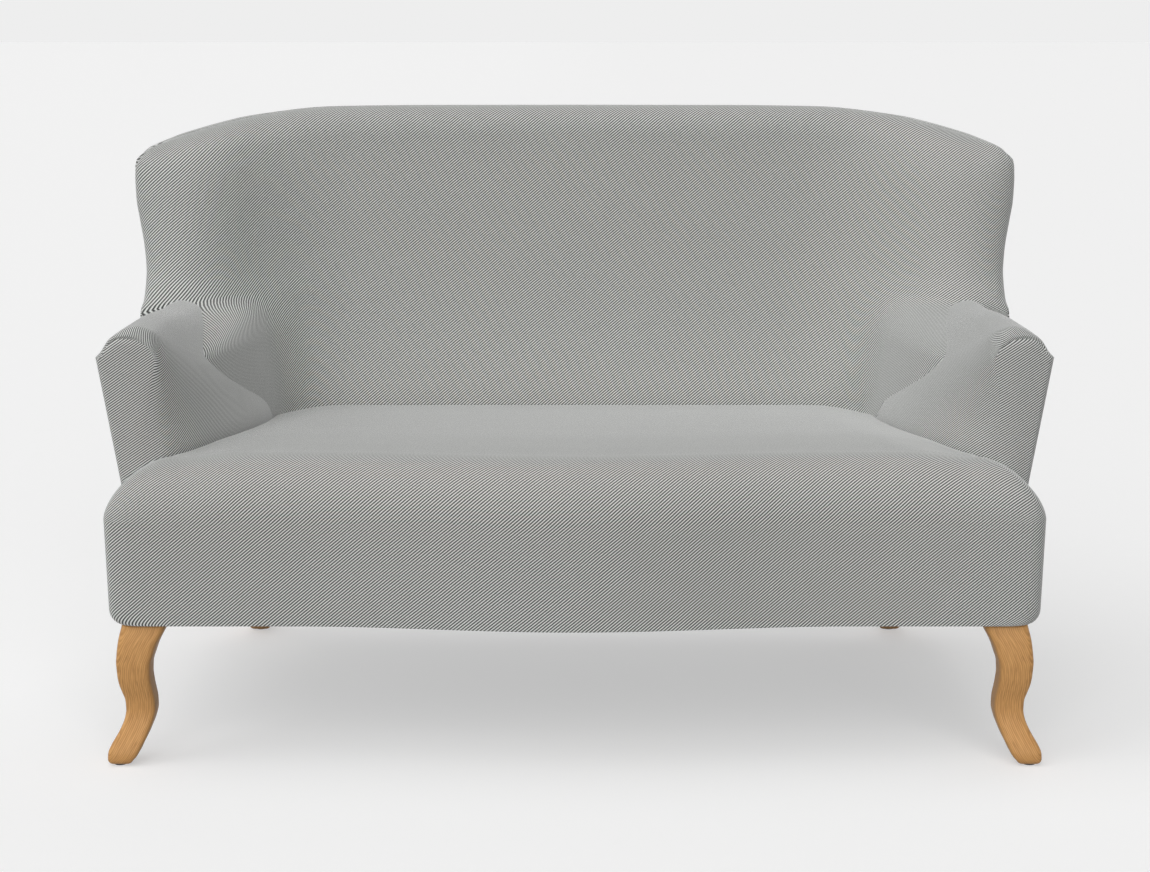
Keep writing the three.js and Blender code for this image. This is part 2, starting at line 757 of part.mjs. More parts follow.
// Springs
function springWire(x) {
  const start = frontRailBack + layerGap;
  const end = rearRailFace - layerGap;
  const steps = springBends * 4;
  const height = railTop + stripThickness / 2;
  const at = (i) => {
    const t = i / steps;
    const swing = springWave * Math.sin(Math.PI * springBends * t) * Math.min(1, 6 * t, 6 * (1 - t));
    return [x + swing / 2, start + (end - start) * t];
  };
  const half = wireThickness / 2;
  const stations = [...Array(steps + 1).keys()].map((i) => {
    const [px, py] = at(i);
    const [ax, ay] = at(Math.max(0, i - 1));
    const [bx, by] = at(Math.min(steps, i + 1));
    const length = Math.hypot(bx - ax, by - ay);
    const sx = ((by - ay) / length) * half;
    const sy = (-(bx - ax) / length) * half;
    return [
      [px - sx, py - sy, height - half], [px + sx, py + sy, height - half],
      [px + sx, py + sy, height + half], [px - sx, py - sy, height + half],
    ];
  });
  return loft(stations.map((station) => [...station].reverse()));
}

// Legs, glides and bolts
const legStationShares = [
  [1, 0, 1], [0.96, 0.045, 1], [0.912, 0.146, 0.84], [0.841, 0.275, 0.53], [0.769, 0.36, 0.32],
  [0.71, 0.415, 0.12], [0.64, 0.414, 0.01], [0.57, 0.378, -0.14], [0.5, 0.302, -0.54], [0.43, 0.229, -0.88],
  [0.365, 0.22, -0.9], [0.3, 0.283, -1], [0.215, 0.466, -0.8], [0.14, 0.68, -0.42], [0.093, 0.8, -0.44],
  [0.05, 0.88, -1.03], [0.02, 0.946, -1.47], [0, 0.955, -2],
];

function legShape(x, y, kickX, kickY) {
  const top = frameBottom - layerGap;
  const width = (size) => {
    if (size > 0) return legWidth + (legTopWidth - legWidth) * size;
    if (size > -1) return legWidth + (legWidth - ankleWidth) * size;
    return Math.max(soleWidth, ankleWidth + (ankleWidth - soleWidth) * (size + 1));
  };
  const stations = legStationShares.map(([t, out, size]) => {
    const z = glideHeight + layerGap + (top - glideHeight - layerGap) * t;
    const half = width(size) / 2;
    const soft = Math.min(legEdge, half / 2);
    const cx = x + kickX * out;
    const cy = y + kickY * out;
    const ring = [];
    for (const [sx, sy, from] of [[1, -1, -90], [1, 1, 0], [-1, 1, 90], [-1, -1, 180]]) {
      for (const turn of [0, 45, 90]) {
        const angle = ((from + turn) * Math.PI) / 180;
        ring.push([
          cx + sx * (half - soft) + soft * Math.cos(angle), cy + sy * (half - soft) + soft * Math.sin(angle), z,
        ]);
      }
    }
    return ring;
  });
  const leg = loft([...stations].reverse());
  const bore = upright(circle(x, y, boltRadius + boltClearance, 12), top - boltDown - boltClearance, top + boltUp);
  return largestPiece(body(leg).subtract(body(bore)));
}

function boltShape(x, y) {
  const top = frameBottom - layerGap;
  return upright(circle(x, y, boltRadius, 12), top - boltDown, top + boltUp);
}

// Materials
function plain(color, roughness, metalness = 0) {
  return new THREE.MeshStandardMaterial({ color, roughness, metalness });
}

const cloth = plain(0x93938f, 0.95);
const oak = plain(0xbb8e5c, 0.55);
const beech = plain(0xc9a878, 0.7);
const foam = plain(0xe6dfb8, 0.9);
const jute = plain(0xb09468, 0.95);
const blackCloth = plain(0x26262a, 0.9);
const steel = plain(0x8d9095, 0.4, 1);
const nylon = plain(0x3a3734, 0.6);

const settee = new THREE.Group();
settee.name = 'high_back_settee';

function place(name, solid, material) {
  const whole = outward(solid);
  const geometry = new THREE.BufferGeometry();
  geometry.setAttribute('position', new THREE.Float32BufferAttribute(whole.points.flat(), 3));
  geometry.setIndex(whole.faces.flat());
  geometry.computeVertexNormals();
  const mesh = new THREE.Mesh(geometry, material);
  mesh.name = name;
  settee.add(mesh);
}

function placePair(name, solid, material) {
  place('right_' + name, solid, material);
  place('left_' + name, mirrored(solid), material);
}

// Legs with their bolts and glides
const seats = [
  ['front', frontLegX, frontLegY, legKick, -legKick],
  ['rear', rearLegX, rearLegY, 0, rearKick],
];
for (const [end, x, y, kickX, kickY] of seats) {
  placePair(end + '_leg', legShape(x, y, kickX, kickY), oak);
  placePair(end + '_leg_bolt', boltShape(x, y), steel);
  placePair(end + '_glide', upright(circle(x + kickX, y + kickY, glideRadius, 16), 0, glideHeight), nylon);
}

// Seat frame
const frontBore = circle(frontLegX, frontLegY, boltRadius + boltClearance, 12);
const rearBore = circle(rearLegX, rearLegY, boltRadius + boltClearance, 12);
const square = (x0, x1, y0, y1) => [[x0, y0], [x1, y0], [x1, y1], [x0, y1]];
placePair(
  'front_corner_block',
  upright(square(blockInner, blockOuter, frontRailFace, frontBlockDepth), frameBottom, blockTop, [frontBore]),
  beech,
);
placePair(
  'rear_corner_block',
  upright(square(rearBlockInner, rearBlockOuter, rearBlockFront, rearRailBack), frameBottom, railTop, [rearBore]),
  beech,
);
place('front_seat_rail', frontRail(), beech);
place(
  'rear_seat_rail',
  box(layerGap - rearBlockInner, rearBlockInner - layerGap, rearRailFace, rearRailBack, frameBottom, railTop),
  beech,
);
place(
  'centre_seat_rail',
  box(
    -railThickness / 2, railThickness / 2, frontRailBack + layerGap, rearRailFace - layerGap,
    frameBottom, centreRailTop,
  ),
  beech,
);
placePair(
  'seat_rail',
  box(
    sideRailInner, sideRailInner + railThickness, frontBlockDepth + layerGap, sideRailEnd,
    frameBottom, railTop,
  ),
  beech,
);

// Back frame
const postBase = railTop + layerGap;
placePair('back_post', leaning(postOuter - postWidth, postOuter, 0, railThickness, postBase, postTop), beech);
const railReach = postOuter - postWidth - layerGap;
place(
  'top_back_rail',
  leaning(-railReach, railReach, 0, railThickness, postTop - backRailDepth, postTop),
  beech,
);
place(
  'lower_back_rail',
  leaning(-railReach, railReach, 0, railThickness, lowerRailHeight, lowerRailHeight + backRailDepth),
  beech,
);
place(
  'back_centre_post',
  leaning(
    -postWidth / 2, postWidth / 2, 0, railThickness,
    lowerRailHeight + backRailDepth + layerGap, postTop - backRailDepth - layerGap,
  ),
  beech,
);

// Arm frame
const armCavity = armFront + coverThickness + armPadThickness + layerGap * 4;
placePair(
  'arm_post',
  box(armPostOuter - armPostWidth, armPostOuter, Math.max(armCavity, frontBlockDepth + layerGap),
    Math.max(armCavity, frontBlockDepth + layerGap) + armPostDepth, railTop + layerGap, armPostTop),
  beech,
);
const armRailStart = Math.max(armCavity, frontBlockDepth + layerGap) + armPostDepth + layerGap;
placePair(
  'arm_rail',
  box(armRailInner, armRailInner + armRailSize, armRailStart, armRailEnd, armRailTop - armRailSize, armRailTop),
  beech,
);
placePair(
  'arm_tuck_rail',
  box(
    armPostOuter - armPostWidth - layerGap - tuckRailSize, armPostOuter - armPostWidth - layerGap,
    Math.max(armCavity, frontBlockDepth + layerGap), armEnd - tuckRailSize,
    tuckRailHeight, tuckRailHeight + tuckRailSize,
  ),
  beech,
);
placePair(
  'wing_rail',
  box(
    wingRailInner, wingRailInner + railThickness, wingRailFace, wingRailFace + railThickness,
    armRailTop + layerGap, wingRailTop,
  ),
  beech,
);

// Seat springing
place(
  'front_spring_strip',
  box(
    stripEndRoom - blockInner, blockInner - stripEndRoom, frontRailBack - stripWidth, frontRailBack,
    postBase, railTop + stripThickness,
  ),
  steel,
);
place(
  'rear_spring_strip',
  box(
    layerGap - rearBlockInner, rearBlockInner - layerGap, rearRailFace, rearRailFace + stripWidth,
    postBase, railTop + stripThickness,
  ),
  steel,
);
for (const [i, step] of [-3, -2, -1, 0, 1, 2, 3].entries()) {
  place('seat_spring_' + (i + 1), springWire(step * springPitch), steel);
}
const hessianBase = foamFloor - layerGap - hessianThickness;
place(
  'seat_hessian',
  box(
    layerGap * 2 - blockInner + railThickness, blockInner - railThickness - layerGap * 2,
    frontRailBack - stripWidth, backPlane(postBase) - railThickness, hessianBase, foamFloor - layerGap,
  ),
  jute,
);

// Back webbing and hessian
const webLow = lowerRailHeight + backRailDepth;
const webRoom = postTop - backRailDepth - webLow - webbingWidth;
for (const [i, share] of [0.12, 0.5, 0.88].entries()) {
  const z = webLow + webRoom * share;
  place(
    'back_webbing_' + (i + 1),
    leaning(layerGap - postOuter, postOuter - layerGap, -layerGap - webbingThickness, -layerGap, z, z + webbingWidth),
    jute,
  );
}
const clothNear = -layerGap * 2 - webbingThickness - hessianThickness;
place(
  'back_hessian',
  leaning(
    layerGap - postOuter, postOuter - layerGap, clothNear, clothNear + hessianThickness,
    lowerRailHeight, postTop,
  ),
  jute,
);

// Padding and covers
const under = coverThickness + layerGap;
const sideways = () => new THREE.Vector3(1, 0, 0);
const seatSteer = (p, n) => {
  const next = n.clone();
  if (p[2] < coverBottom + layerGap) next.z = 0;
  if (p[1] > seatFront + frontRollDepth - layerGap && Math.abs(p[0]) > armInner + endRollWidth / 2) next.y = 0;
  return next;
};
place('seat_foam', seatFoam(), foam);
place('seat_cover', layer(seatSkin(0, true, 0), 0, coverThickness, seatSteer), cloth);

const backPatch = backSkin();
const outline = (p) => {
  const x = Math.abs(p[0]);
  return Math.max(0, Math.min(wingWidth(Math.min(p[2], wingCornerHeight)) - x, crestHeight(x) - p[2]));
};
const backSteer = (p, n) => {
  const next = n.clone();
  const beyond = Math.abs(p[0]) > wingWidth(wingCornerHeight) - coverThickness * 8;
  if (outline(p) < layerGap) next.y = 0;
  if (outline(p) < layerGap && beyond) next.set(Math.sign(p[0]), 0, 1);
  if (outline(p) < layerGap && p[2] < wingCornerHeight - sideRollWidth / 2) next.set(Math.sign(p[0]), 0, 0);
  if (p[2] < backRoot + layerGap) next.z = 0;
  return next;
};
const foamDepth = (p) => {
  const t = easeShare(outline(p) / sideRollWidth);
  return under + edgeFoamThickness + (backFoamThickness - edgeFoamThickness) * t;
};
const insideEdge = (p, q) => {
  const height = Math.min(p[2], wingCornerHeight);
  const beside = wingWidth(height) - Math.abs(p[0]);
  const above = crestHeight(p[0]) - p[2];
  if (Math.min(beside, above) > sideRollWidth || p[2] < armTop) return q;
  const edge = beside < above ? wingSeamDepth * readShares(wingSeamShares, height / backHeight) : crestLine(p[0]);
  return [q[0], Math.min(q[1], Math.max(edge, p[1] + under)), q[2]];
};
function besideArms(solid, grow) {
  let rest = body(solid);
  for (const side of [1, -1]) rest = rest.subtract(body(armVolume(grow, side)));
  return largestPiece(rest);
}
place('back_foam', besideArms(layer(backPatch, under + seamGap, foamDepth, backSteer, insideEdge), seamGap * 2), foam);
place('inside_back_cover', besideArms(layer(backPatch, 0, coverThickness, backSteer), seamGap), cloth);

const seamEdge = armRoot + (armTop - armRoot) * armSectionShares[armSectionShares.length - 1][1];
const armSteer = (p, n) => {
  const next = n.clone();
  if (p[2] < coverBottom + layerGap || Math.abs(p[2] - armRoot) < layerGap) next.z = 0;
  if (p[0] > armInner + armRollDepth && p[2] < seamEdge + layerGap && p[1] > armFront + layerGap) {
    next.set(1, 0, 0);
  }
  return next;
};
placePair('arm_pad', layer(armSkin(false), under, under + armPadThickness, armSteer), foam);
placePair('arm_cover', layer(armSkin(true), 0, coverThickness, armSteer), cloth);
placePair('outside_arm_cover', layer(sideSkin(), 0, coverThickness, sideways), cloth);
const rearSteer = (p, n) => {
  const next = n.clone();
  if (p[2] < coverBottom + layerGap) next.z = 0;
  if (Math.abs(p[1] - wingSeamDepth - seamGap * 2) < layerGap) next.y = 0;
  if (crestHeight(p[0]) - p[2] < layerGap) next.y = 0;
  return next;
};
place('outside_back_cover', layer(rearSkin(), 0, coverThickness, rearSteer), cloth);

// Dust cloth under the frame
const dustTop = frameBottom - layerGap;
const legClear = legTopWidth / 2 + layerGap * 4;
const dustX = sideRailInner + railThickness - dustInset;
const dustHalf = [
  [rearLegX - legClear, rearRailBack - dustInset], [rearLegX - legClear, rearLegY - legClear],
  [dustX, rearLegY - legClear], [dustX, frontLegY + legClear],
  [frontLegX - legClear, frontLegY + legClear], [frontLegX - legClear, frontRailFace + dustInset],
];
const dustOutline = [...dustHalf, ...[...dustHalf].reverse().map(([x, y]) => [-x, y])];
place('dust_cover', upright([...dustOutline].reverse(), dustTop - dustThickness, dustTop), blackCloth);

// Centre the settee on its footprint with the glides on the floor
const bounds = new THREE.Box3().setFromObject(settee);
const shiftX = -(bounds.min.x + bounds.max.x) / 2;
const shiftY = -(bounds.min.y + bounds.max.y) / 2;
for (const mesh of settee.children) mesh.geometry.translate(shiftX, shiftY, -bounds.min.z);

export default settee;
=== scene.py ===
import math

import bmesh
import bpy
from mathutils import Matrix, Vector


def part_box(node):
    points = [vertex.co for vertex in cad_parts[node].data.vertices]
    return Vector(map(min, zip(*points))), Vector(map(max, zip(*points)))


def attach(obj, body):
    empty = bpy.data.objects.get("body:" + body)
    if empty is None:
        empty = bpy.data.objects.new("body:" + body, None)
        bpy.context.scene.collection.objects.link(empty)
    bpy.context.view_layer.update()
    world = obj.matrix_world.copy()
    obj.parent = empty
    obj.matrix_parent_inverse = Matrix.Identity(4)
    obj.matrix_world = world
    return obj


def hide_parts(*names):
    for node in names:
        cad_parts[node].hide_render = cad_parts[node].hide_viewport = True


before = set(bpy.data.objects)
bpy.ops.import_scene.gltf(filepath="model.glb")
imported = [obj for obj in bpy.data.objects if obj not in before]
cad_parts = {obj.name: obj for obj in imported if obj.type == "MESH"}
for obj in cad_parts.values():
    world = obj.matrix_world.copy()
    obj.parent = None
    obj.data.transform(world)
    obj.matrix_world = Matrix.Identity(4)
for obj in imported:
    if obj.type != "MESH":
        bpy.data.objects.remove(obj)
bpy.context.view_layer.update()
scene = bpy.context.scene
scene.view_settings.view_transform = "Standard"


# Camera: a long lens straight in front of the settee, a little above the top of its back, looking
# ten degrees down, so that the seat shows as a narrow band above the front.
camera_data = bpy.data.cameras.new("camera")
camera_data.sensor_width = 36.0
camera_data.lens = 73.57
camera_data.clip_end = 200.0
camera = bpy.data.objects.new("camera", camera_data)
camera.location = (0.0003, -3.6919, 1.1076)
camera.rotation_euler = (math.radians(79.49), 0.0, 0.0)
scene.collection.objects.link(camera)
scene.camera = camera


# Floor and light: a seamless pale floor, a very broad lamp in front, another overhead and weaker
# ones from the left and behind, with a faint glow from all round. The shadow falls softly.
class Signal:
    """One value in a material, which may change over the surface."""

    def __init__(self, tree, socket):
        self.tree = tree
        self.socket = socket

    @classmethod
    def add(cls, tree, kind, settings=(), values=(), output=0):
        """A new node with its settings made and its sockets filled, as the signal it gives out."""
        node = tree.nodes.new(kind)
        for name, value in dict(settings).items():
            if name == "stops":
                for stop, (place, colour) in zip(node.color_ramp.elements, value):
                    stop.position = place
                    stop.color = (*colour, 1.0)
            else:
                setattr(node, name, value)
        for name, value in dict(values).items():
            if isinstance(value, Signal):
                tree.links.new(value.socket, node.inputs[name])
            else:
                node.inputs[name].default_value = value
        return cls(tree, node.outputs[output]) if node.outputs else None

    def math(self, operation, *others):
        values = dict(enumerate((self, *others)))
        return Signal.add(self.tree, "ShaderNodeMath", {"operation": operation}, values)

    def __add__(self, other):
        return self.math("ADD", other)

    def __sub__(self, other):
        return self.math("SUBTRACT", other)

    def __mul__(self, other):
        return self.math("MULTIPLY", other)

    __radd__ = __add__


def blend_colours(share, first, second):
    """The first colour where the share is 0, the second where it is 1."""
    return Signal.add(
        share.tree, "ShaderNodeMix", {"data_type": "RGBA"}, {0: share, 6: first, 7: second}, 2
    )


def seen_directly(tree):
    """1 for what the camera sees, also in gloss and through glass, 0 for light on its way."""
    rays = ["Is Camera Ray", "Is Glossy Ray", "Is Transmission Ray"]
    camera_ray, gloss_ray, glass_ray = (
        Signal.add(tree, "ShaderNodeLightPath", output=ray) for ray in rays
    )
    return (camera_ray + gloss_ray + glass_ray).math("MINIMUM", 1.0)


def new_tree(owner):
    """The empty node tree of a new material or world."""
    owner.use_nodes = True
    owner.node_tree.nodes.clear()
    return owner.node_tree


def grey(level):
    return (level, level, level, 1.0)


def noise(tree, place, scale, detail, roughness=0.5):
    return Signal.add(
        tree, "ShaderNodeTexNoise",
        values={"Vector": place, "Scale": scale, "Detail": detail, "Roughness": roughness},
    )


floor_half = 60.0
floor_pale = grey(0.56)
floor_dim = grey(0.40)
# The glow that the camera sees on the floor is painted light: a little brighter on the left than on
# the right, fading across the middle 2.4 m, as if the light fell from the left.
floor_glow_painted_brighter_left = grey(0.475)
floor_glow_painted_dimmer_right = grey(0.463)
painted_falloff_reach = 1.2
floor_finish = bpy.data.materials.new("floor_finish")
tree = new_tree(floor_finish)
spot = Signal.add(tree, "ShaderNodeTexCoord", output="Object")
sideways = Signal.add(tree, "ShaderNodeSeparateXYZ", values={0: spot})
rightness = Signal.add(
    tree, "ShaderNodeMapRange",
    values={"Value": sideways, "From Min": -painted_falloff_reach, "From Max": painted_falloff_reach},
)
seen = seen_directly(tree)
glow_with_painted_falloff = blend_colours(rightness, floor_glow_painted_brighter_left, floor_glow_painted_dimmer_right)
glow_seen = blend_colours(seen, grey(0.0), glow_with_painted_falloff)
floor_colour = blend_colours(seen, floor_dim, floor_pale)
lit = Signal.add(tree, "ShaderNodeBsdfDiffuse", values={"Color": floor_colour})
glow = Signal.add(tree, "ShaderNodeEmission", values={"Color": glow_seen, "Strength": 1.0})
both = Signal.add(tree, "ShaderNodeAddShader", values={0: lit, 1: glow})
Signal.add(tree, "ShaderNodeOutputMaterial", values={"Surface": both})

floor_form = bmesh.new()
bmesh.ops.create_grid(floor_form, x_segments=4, y_segments=4, size=floor_half)
floor_mesh = bpy.data.meshes.new("floor")
floor_form.to_mesh(floor_mesh)
floor_form.free()
floor_mesh.materials.append(floor_finish)
floor = bpy.data.objects.new("floor", floor_mesh)
scene.collection.objects.link(floor)

glow_strength = 0.04
far_pale = grey(0.855)
studio = bpy.data.worlds.new("studio")
tree = new_tree(studio)
fill = Signal.add(
    tree, "ShaderNodeBackground", values={"Color": grey(1.0), "Strength": glow_strength}
)
far = Signal.add(tree, "ShaderNodeBackground", values={"Color": far_pale, "Strength": 1.0})
surround = Signal.add(tree, "ShaderNodeMixShader", values={0: seen_directly(tree), 1: fill, 2: far})
Signal.add(tree, "ShaderNodeOutputWorld", values={"Surface": surround})
scene.world = studio

lamp_distance = 4.0
lamps = [
    ("left_lamp", 0.59, 50.0, (-0.797, -0.290, 0.530)),
    ("front_lamp", 1.55, 60.0, (0.0, -0.906, 0.423)),
    ("overhead_lamp", 1.03, 70.0, (-0.280, -0.100, 0.955)),
    ("rear_lamp", 0.60, 80.0, (0.25, 0.92, 0.30)),
]
for name, strength, spread, lamp_from in lamps:
    lamp_data = bpy.data.lights.new(name, "SUN")
    lamp_data.energy = strength
    lamp_data.angle = math.radians(spread)
    lamp = bpy.data.objects.new(name, lamp_data)
    lamp.rotation_euler = Vector(lamp_from).to_track_quat("Z", "Y").to_euler()
    lamp.location = Vector(lamp_from) * lamp_distance
    scene.collection.objects.link(lamp)


# Beech frame: planed rails, posts and blocks, glued and screwed, unfinished. It is hidden under the
# covers and keeps the shape of its solids.
def add_surface(tree, values):
    """The material's surface, with the given values of its shader."""
    shader = Signal.add(tree, "ShaderNodeBsdfPrincipled", values=values)
    Signal.add(tree, "ShaderNodeOutputMaterial", values={"Surface": shader})


def wood_finish(name, pale, dark, pore, ring_size, gloss, grain_map=None):
    """Wood with long fibres up the piece, growth rings across it and short dark pores."""
    material = bpy.data.materials.new(name)
    tree = new_tree(material)
    if grain_map:
        spot = Signal.add(tree, "ShaderNodeUVMap", {"uv_map": grain_map})
        lengthwise = (1.0, 0.06, 1.0)
    else:
        spot = Signal.add(tree, "ShaderNodeTexCoord", output="Object")
        lengthwise = (1.0, 1.0, 0.06)
    drawn = Signal.add(tree, "ShaderNodeMapping", values={"Vector": spot, "Scale": lengthwise})
    drift = noise(tree, drawn, 9.0, 2.0)
    rings = Signal.add(
        tree, "ShaderNodeTexWave", {"bands_direction": "DIAGONAL"},
        {
            "Vector": drawn, "Scale": ring_size, "Distortion": 5.0, "Detail": 2.0,
            "Detail Scale": 1.4,
        },
        "Fac",
    )
    fibre = noise(tree, drawn, 420.0, 4.0, 0.6)
    flecks = noise(tree, drawn, 900.0, 1.0, 0.4)
    pores = Signal.add(
        tree, "ShaderNodeMapRange",
        values={"Value": flecks, "From Min": 0.58, "From Max": 0.70},
    )
    shade = rings * 0.45 + fibre * 0.45 + drift * 0.25 - 0.08
    base = Signal.add(
        tree, "ShaderNodeValToRGB", {"stops": [(0.20, pale), (0.85, dark)]}, {0: shade}, "Color"
    )
    colour = blend_colours(pores * 0.45, base, (*pore, 1.0))
    height = fibre * 0.6 - pores * 0.8
    grain = Signal.add(
        tree, "ShaderNodeBump", values={"Height": height, "Strength": 0.25, "Distance": 0.0004},
    )
    add_surface(tree, {
        "Base Color": colour, "Roughness": gloss + pores * 0.15, "Normal": grain,
        "Specular IOR Level": 0.2,
    })
    return material


def give_finish(names, material):
    """The finish of solids that keep their shape."""
    for name in names:
        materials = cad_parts[name].data.materials
        materials.clear()
        materials.append(material)


beech_pieces = [
    "right_front_corner_block", "left_front_corner_block", "right_rear_corner_block",
    "left_rear_corner_block", "front_seat_rail", "rear_seat_rail", "right_seat_rail",
    "left_seat_rail", "centre_seat_rail", "right_back_post", "left_back_post", "top_back_rail",
    "lower_back_rail", "back_centre_post", "right_arm_post", "left_arm_post", "right_arm_rail",
    "left_arm_rail", "right_arm_tuck_rail", "left_arm_tuck_rail", "right_wing_rail",
    "left_wing_rail",
]
beech = wood_finish(
    "beech", pale=(0.66, 0.46, 0.26), dark=(0.45, 0.28, 0.14), pore=(0.30, 0.17, 0.08),
    ring_size=26.0, gloss=0.62,
)
give_finish(beech_pieces, beech)


# Springs and bolts: seven bent steel wires clipped between two folded strips on the seat rails, and
# four bolts that hold the legs, all zinc plated.
steel_pieces = [
    "front_spring_strip", "rear_spring_strip", "right_front_leg_bolt", "left_front_leg_bolt",
    "right_rear_leg_bolt", "left_rear_leg_bolt", *(f"seat_spring_{n}" for n in range(1, 8)),
]
steel = bpy.data.materials.new("zinc_steel")
tree = new_tree(steel)
spot = Signal.add(tree, "ShaderNodeTexCoord", output="Object")
cloud = noise(tree, spot, 60.0, 5.0)
colour = Signal.add(
    tree, "ShaderNodeValToRGB",
    {"stops": [(0.30, (0.44, 0.45, 0.47)), (0.70, (0.62, 0.63, 0.65))]}, {0: cloud}, "Color",
)
add_surface(tree, {"Base Color": colour, "Metallic": 1.0, "Roughness": 0.28 + cloud * 0.22})
give_finish(steel_pieces, steel)


# Hessian and webbing: coarse jute cloth stretched over the springs and over the back frame, there
# on three upright jute webs. Each is tacked to the rails.
def plain_weave(name, thread, pale, dark, roughness):
    """Threads over and under one another, a thread's pitch apart."""
    material = bpy.data.materials.new(name)
    tree = new_tree(material)
    spot = Signal.add(tree, "ShaderNodeTexCoord", output="Object")
    across = Signal.add(tree, "ShaderNodeSeparateXYZ", values={0: spot}, output="X")
    along = Signal.add(tree, "ShaderNodeSeparateXYZ", values={0: spot}, output="Y")
    upward = Signal.add(tree, "ShaderNodeSeparateXYZ", values={0: spot}, output="Z")
    turn = math.pi / thread
    warp = (across * turn).math("SINE")
    weft = ((along + upward) * turn).math("SINE")
    crossing = (warp * weft + 1.0) * 0.5
    fuzz = noise(tree, spot, 900.0, 3.0)
    shade = crossing * 0.7 + fuzz * 0.5
    colour = Signal.add(
        tree, "ShaderNodeValToRGB", {"stops": [(0.15, dark), (0.95, pale)]}, {0: shade}, "Color"
    )
    bump = Signal.add(
        tree, "ShaderNodeBump",
        values={"Height": crossing + fuzz * 0.3, "Strength": 0.5, "Distance": thread * 0.4},
    )
    add_surface(tree, {
        "Base Color": colour, "Roughness": roughness, "Normal": bump, "Specular IOR Level": 0.2,
    })
    return material


def add_piece(form, name, nodes, material):
    """The form as a fixed piece of that name, in place of the nodes' solids."""
    mesh = bpy.data.meshes.new(name)
    form.to_mesh(mesh)
    form.free()
    mesh.materials.append(material)
    piece = bpy.data.objects.new(name, mesh)
    scene.collection.objects.link(piece)
    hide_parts(*nodes)
    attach(piece, "root")
    return piece


def soften_solid(name, node, material):
    """A flat cloth piece from a node's solid, with its edges rounded."""
    form = bmesh.new()
    form.from_mesh(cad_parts[node].data)
    bmesh.ops.remove_doubles(form, verts=form.verts, dist=weld_distance)
    bmesh.ops.dissolve_limit(
        form, angle_limit=math.radians(1.0), verts=form.verts, edges=form.edges
    )
    bmesh.ops.bevel(
        form, geom=form.edges[:], offset=cloth_edge, segments=2, profile=0.5, affect="EDGES",
        material=-1,
    )
    low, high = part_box(node)
    middle = (Vector(low) + Vector(high)) / 2
    for line in range(1, cloth_strips):
        at = low[0] + (high[0] - low[0]) * line / cloth_strips
        bmesh.ops.bisect_plane(
            form, geom=form.verts[:] + form.edges[:] + form.faces[:],
            plane_co=(at, middle[1], middle[2]), plane_no=(1.0, 0.0, 0.0),
        )
    bmesh.ops.triangulate(form, faces=form.faces)
    for face in form.faces:
        face.smooth = False
    add_piece(form, name, [node], material)


cloth_edge = 0.0004
cloth_strips = 8
weld_distance = 0.00002
jute = plain_weave("jute_cloth", 0.0022, (0.56, 0.41, 0.22), (0.22, 0.14, 0.06), 0.95)
jute_web = plain_weave("jute_web", 0.0034, (0.60, 0.46, 0.28), (0.26, 0.17, 0.08), 0.92)
soften_solid("seat_jute_cloth", "seat_hessian", jute)
soften_solid("back_jute_cloth", "back_hessian", jute)
for count in (1, 2, 3):
    soften_solid(f"back_web_{count}", f"back_webbing_{count}", jute_web)


# Legs: four solid oak legs of square section with eased edges, bowed out at the knee, in at the
# ankle and out again to a small foot, satin lacquered, each bolted up into its corner block.
front_room = 0.3825
leg_height = 0.2054
leg_low = 0.0033
leg_edge = 0.0075
leg_top_width = 0.064
leg_width = 0.048
ankle_width = 0.043
sole_width = 0.028
front_leg_place = (0.632, 0.050)
rear_leg_place = (0.562, 0.700)
leg_kick = 0.038
rear_kick = 0.072
foot_shares = (0.0, 0.006, 0.012, 0.02, 0.03)
leg_steps = 40


def smooth_line(pairs):
    """A reader of the smooth line through pairs of place and value, level beyond both ends."""
    steps = [(q[1] - p[1]) / (q[0] - p[0]) for p, q in zip(pairs, pairs[1:])]
    inner = [0.0 if a * b <= 0 else 2 * a * b / (a + b) for a, b in zip(steps, steps[1:])]
    slopes = [steps[0], *inner, steps[-1]]

    def read(place):
        place = min(max(place, pairs[0][0]), pairs[-1][0])
        k = next(n for n in range(len(pairs) - 1) if place <= pairs[n + 1][0])
        (start, low), (end, high) = pairs[k], pairs[k + 1]
        t = (place - start) / (end - start)
        bend = slopes[k] * t * (1 - t) ** 2 - slopes[k + 1] * t * t * (1 - t)
        return low * (1 + 2 * t) * (1 - t) ** 2 + high * t * t * (3 - 2 * t) + bend * (end - start)

    return read


kick_line = smooth_line([
    (0.0, 0.955), (0.02, 0.946), (0.05, 0.88), (0.093, 0.80), (0.14, 0.68), (0.18, 0.56),
    (0.215, 0.466), (0.26, 0.36), (0.30, 0.283), (0.365, 0.22), (0.43, 0.229), (0.50, 0.302),
    (0.57, 0.378), (0.64, 0.414), (0.71, 0.415), (0.769, 0.36), (0.841, 0.275), (0.912, 0.146),
    (0.96, 0.045), (1.0, 0.0),
])
size_line = smooth_line([
    (0.0, -2.0), (0.006, -1.73), (0.02, -1.47), (0.05, -1.03), (0.093, -0.44), (0.14, -0.42),
    (0.18, -0.58), (0.215, -0.8), (0.26, -0.94), (0.30, -1.0), (0.365, -0.9), (0.43, -0.88),
    (0.50, -0.54), (0.57, -0.14), (0.64, 0.01), (0.71, 0.12), (0.769, 0.32), (0.841, 0.53),
    (0.912, 0.84), (0.96, 1.0), (1.0, 1.0),
])


def leg_breadth(share):
    size = size_line(share)
    if size > 0:
        return leg_width + (leg_top_width - leg_width) * size
    if size > -1:
        return leg_width + (leg_width - ankle_width) * size
    return ankle_width + (ankle_width - sole_width) * (size + 1)


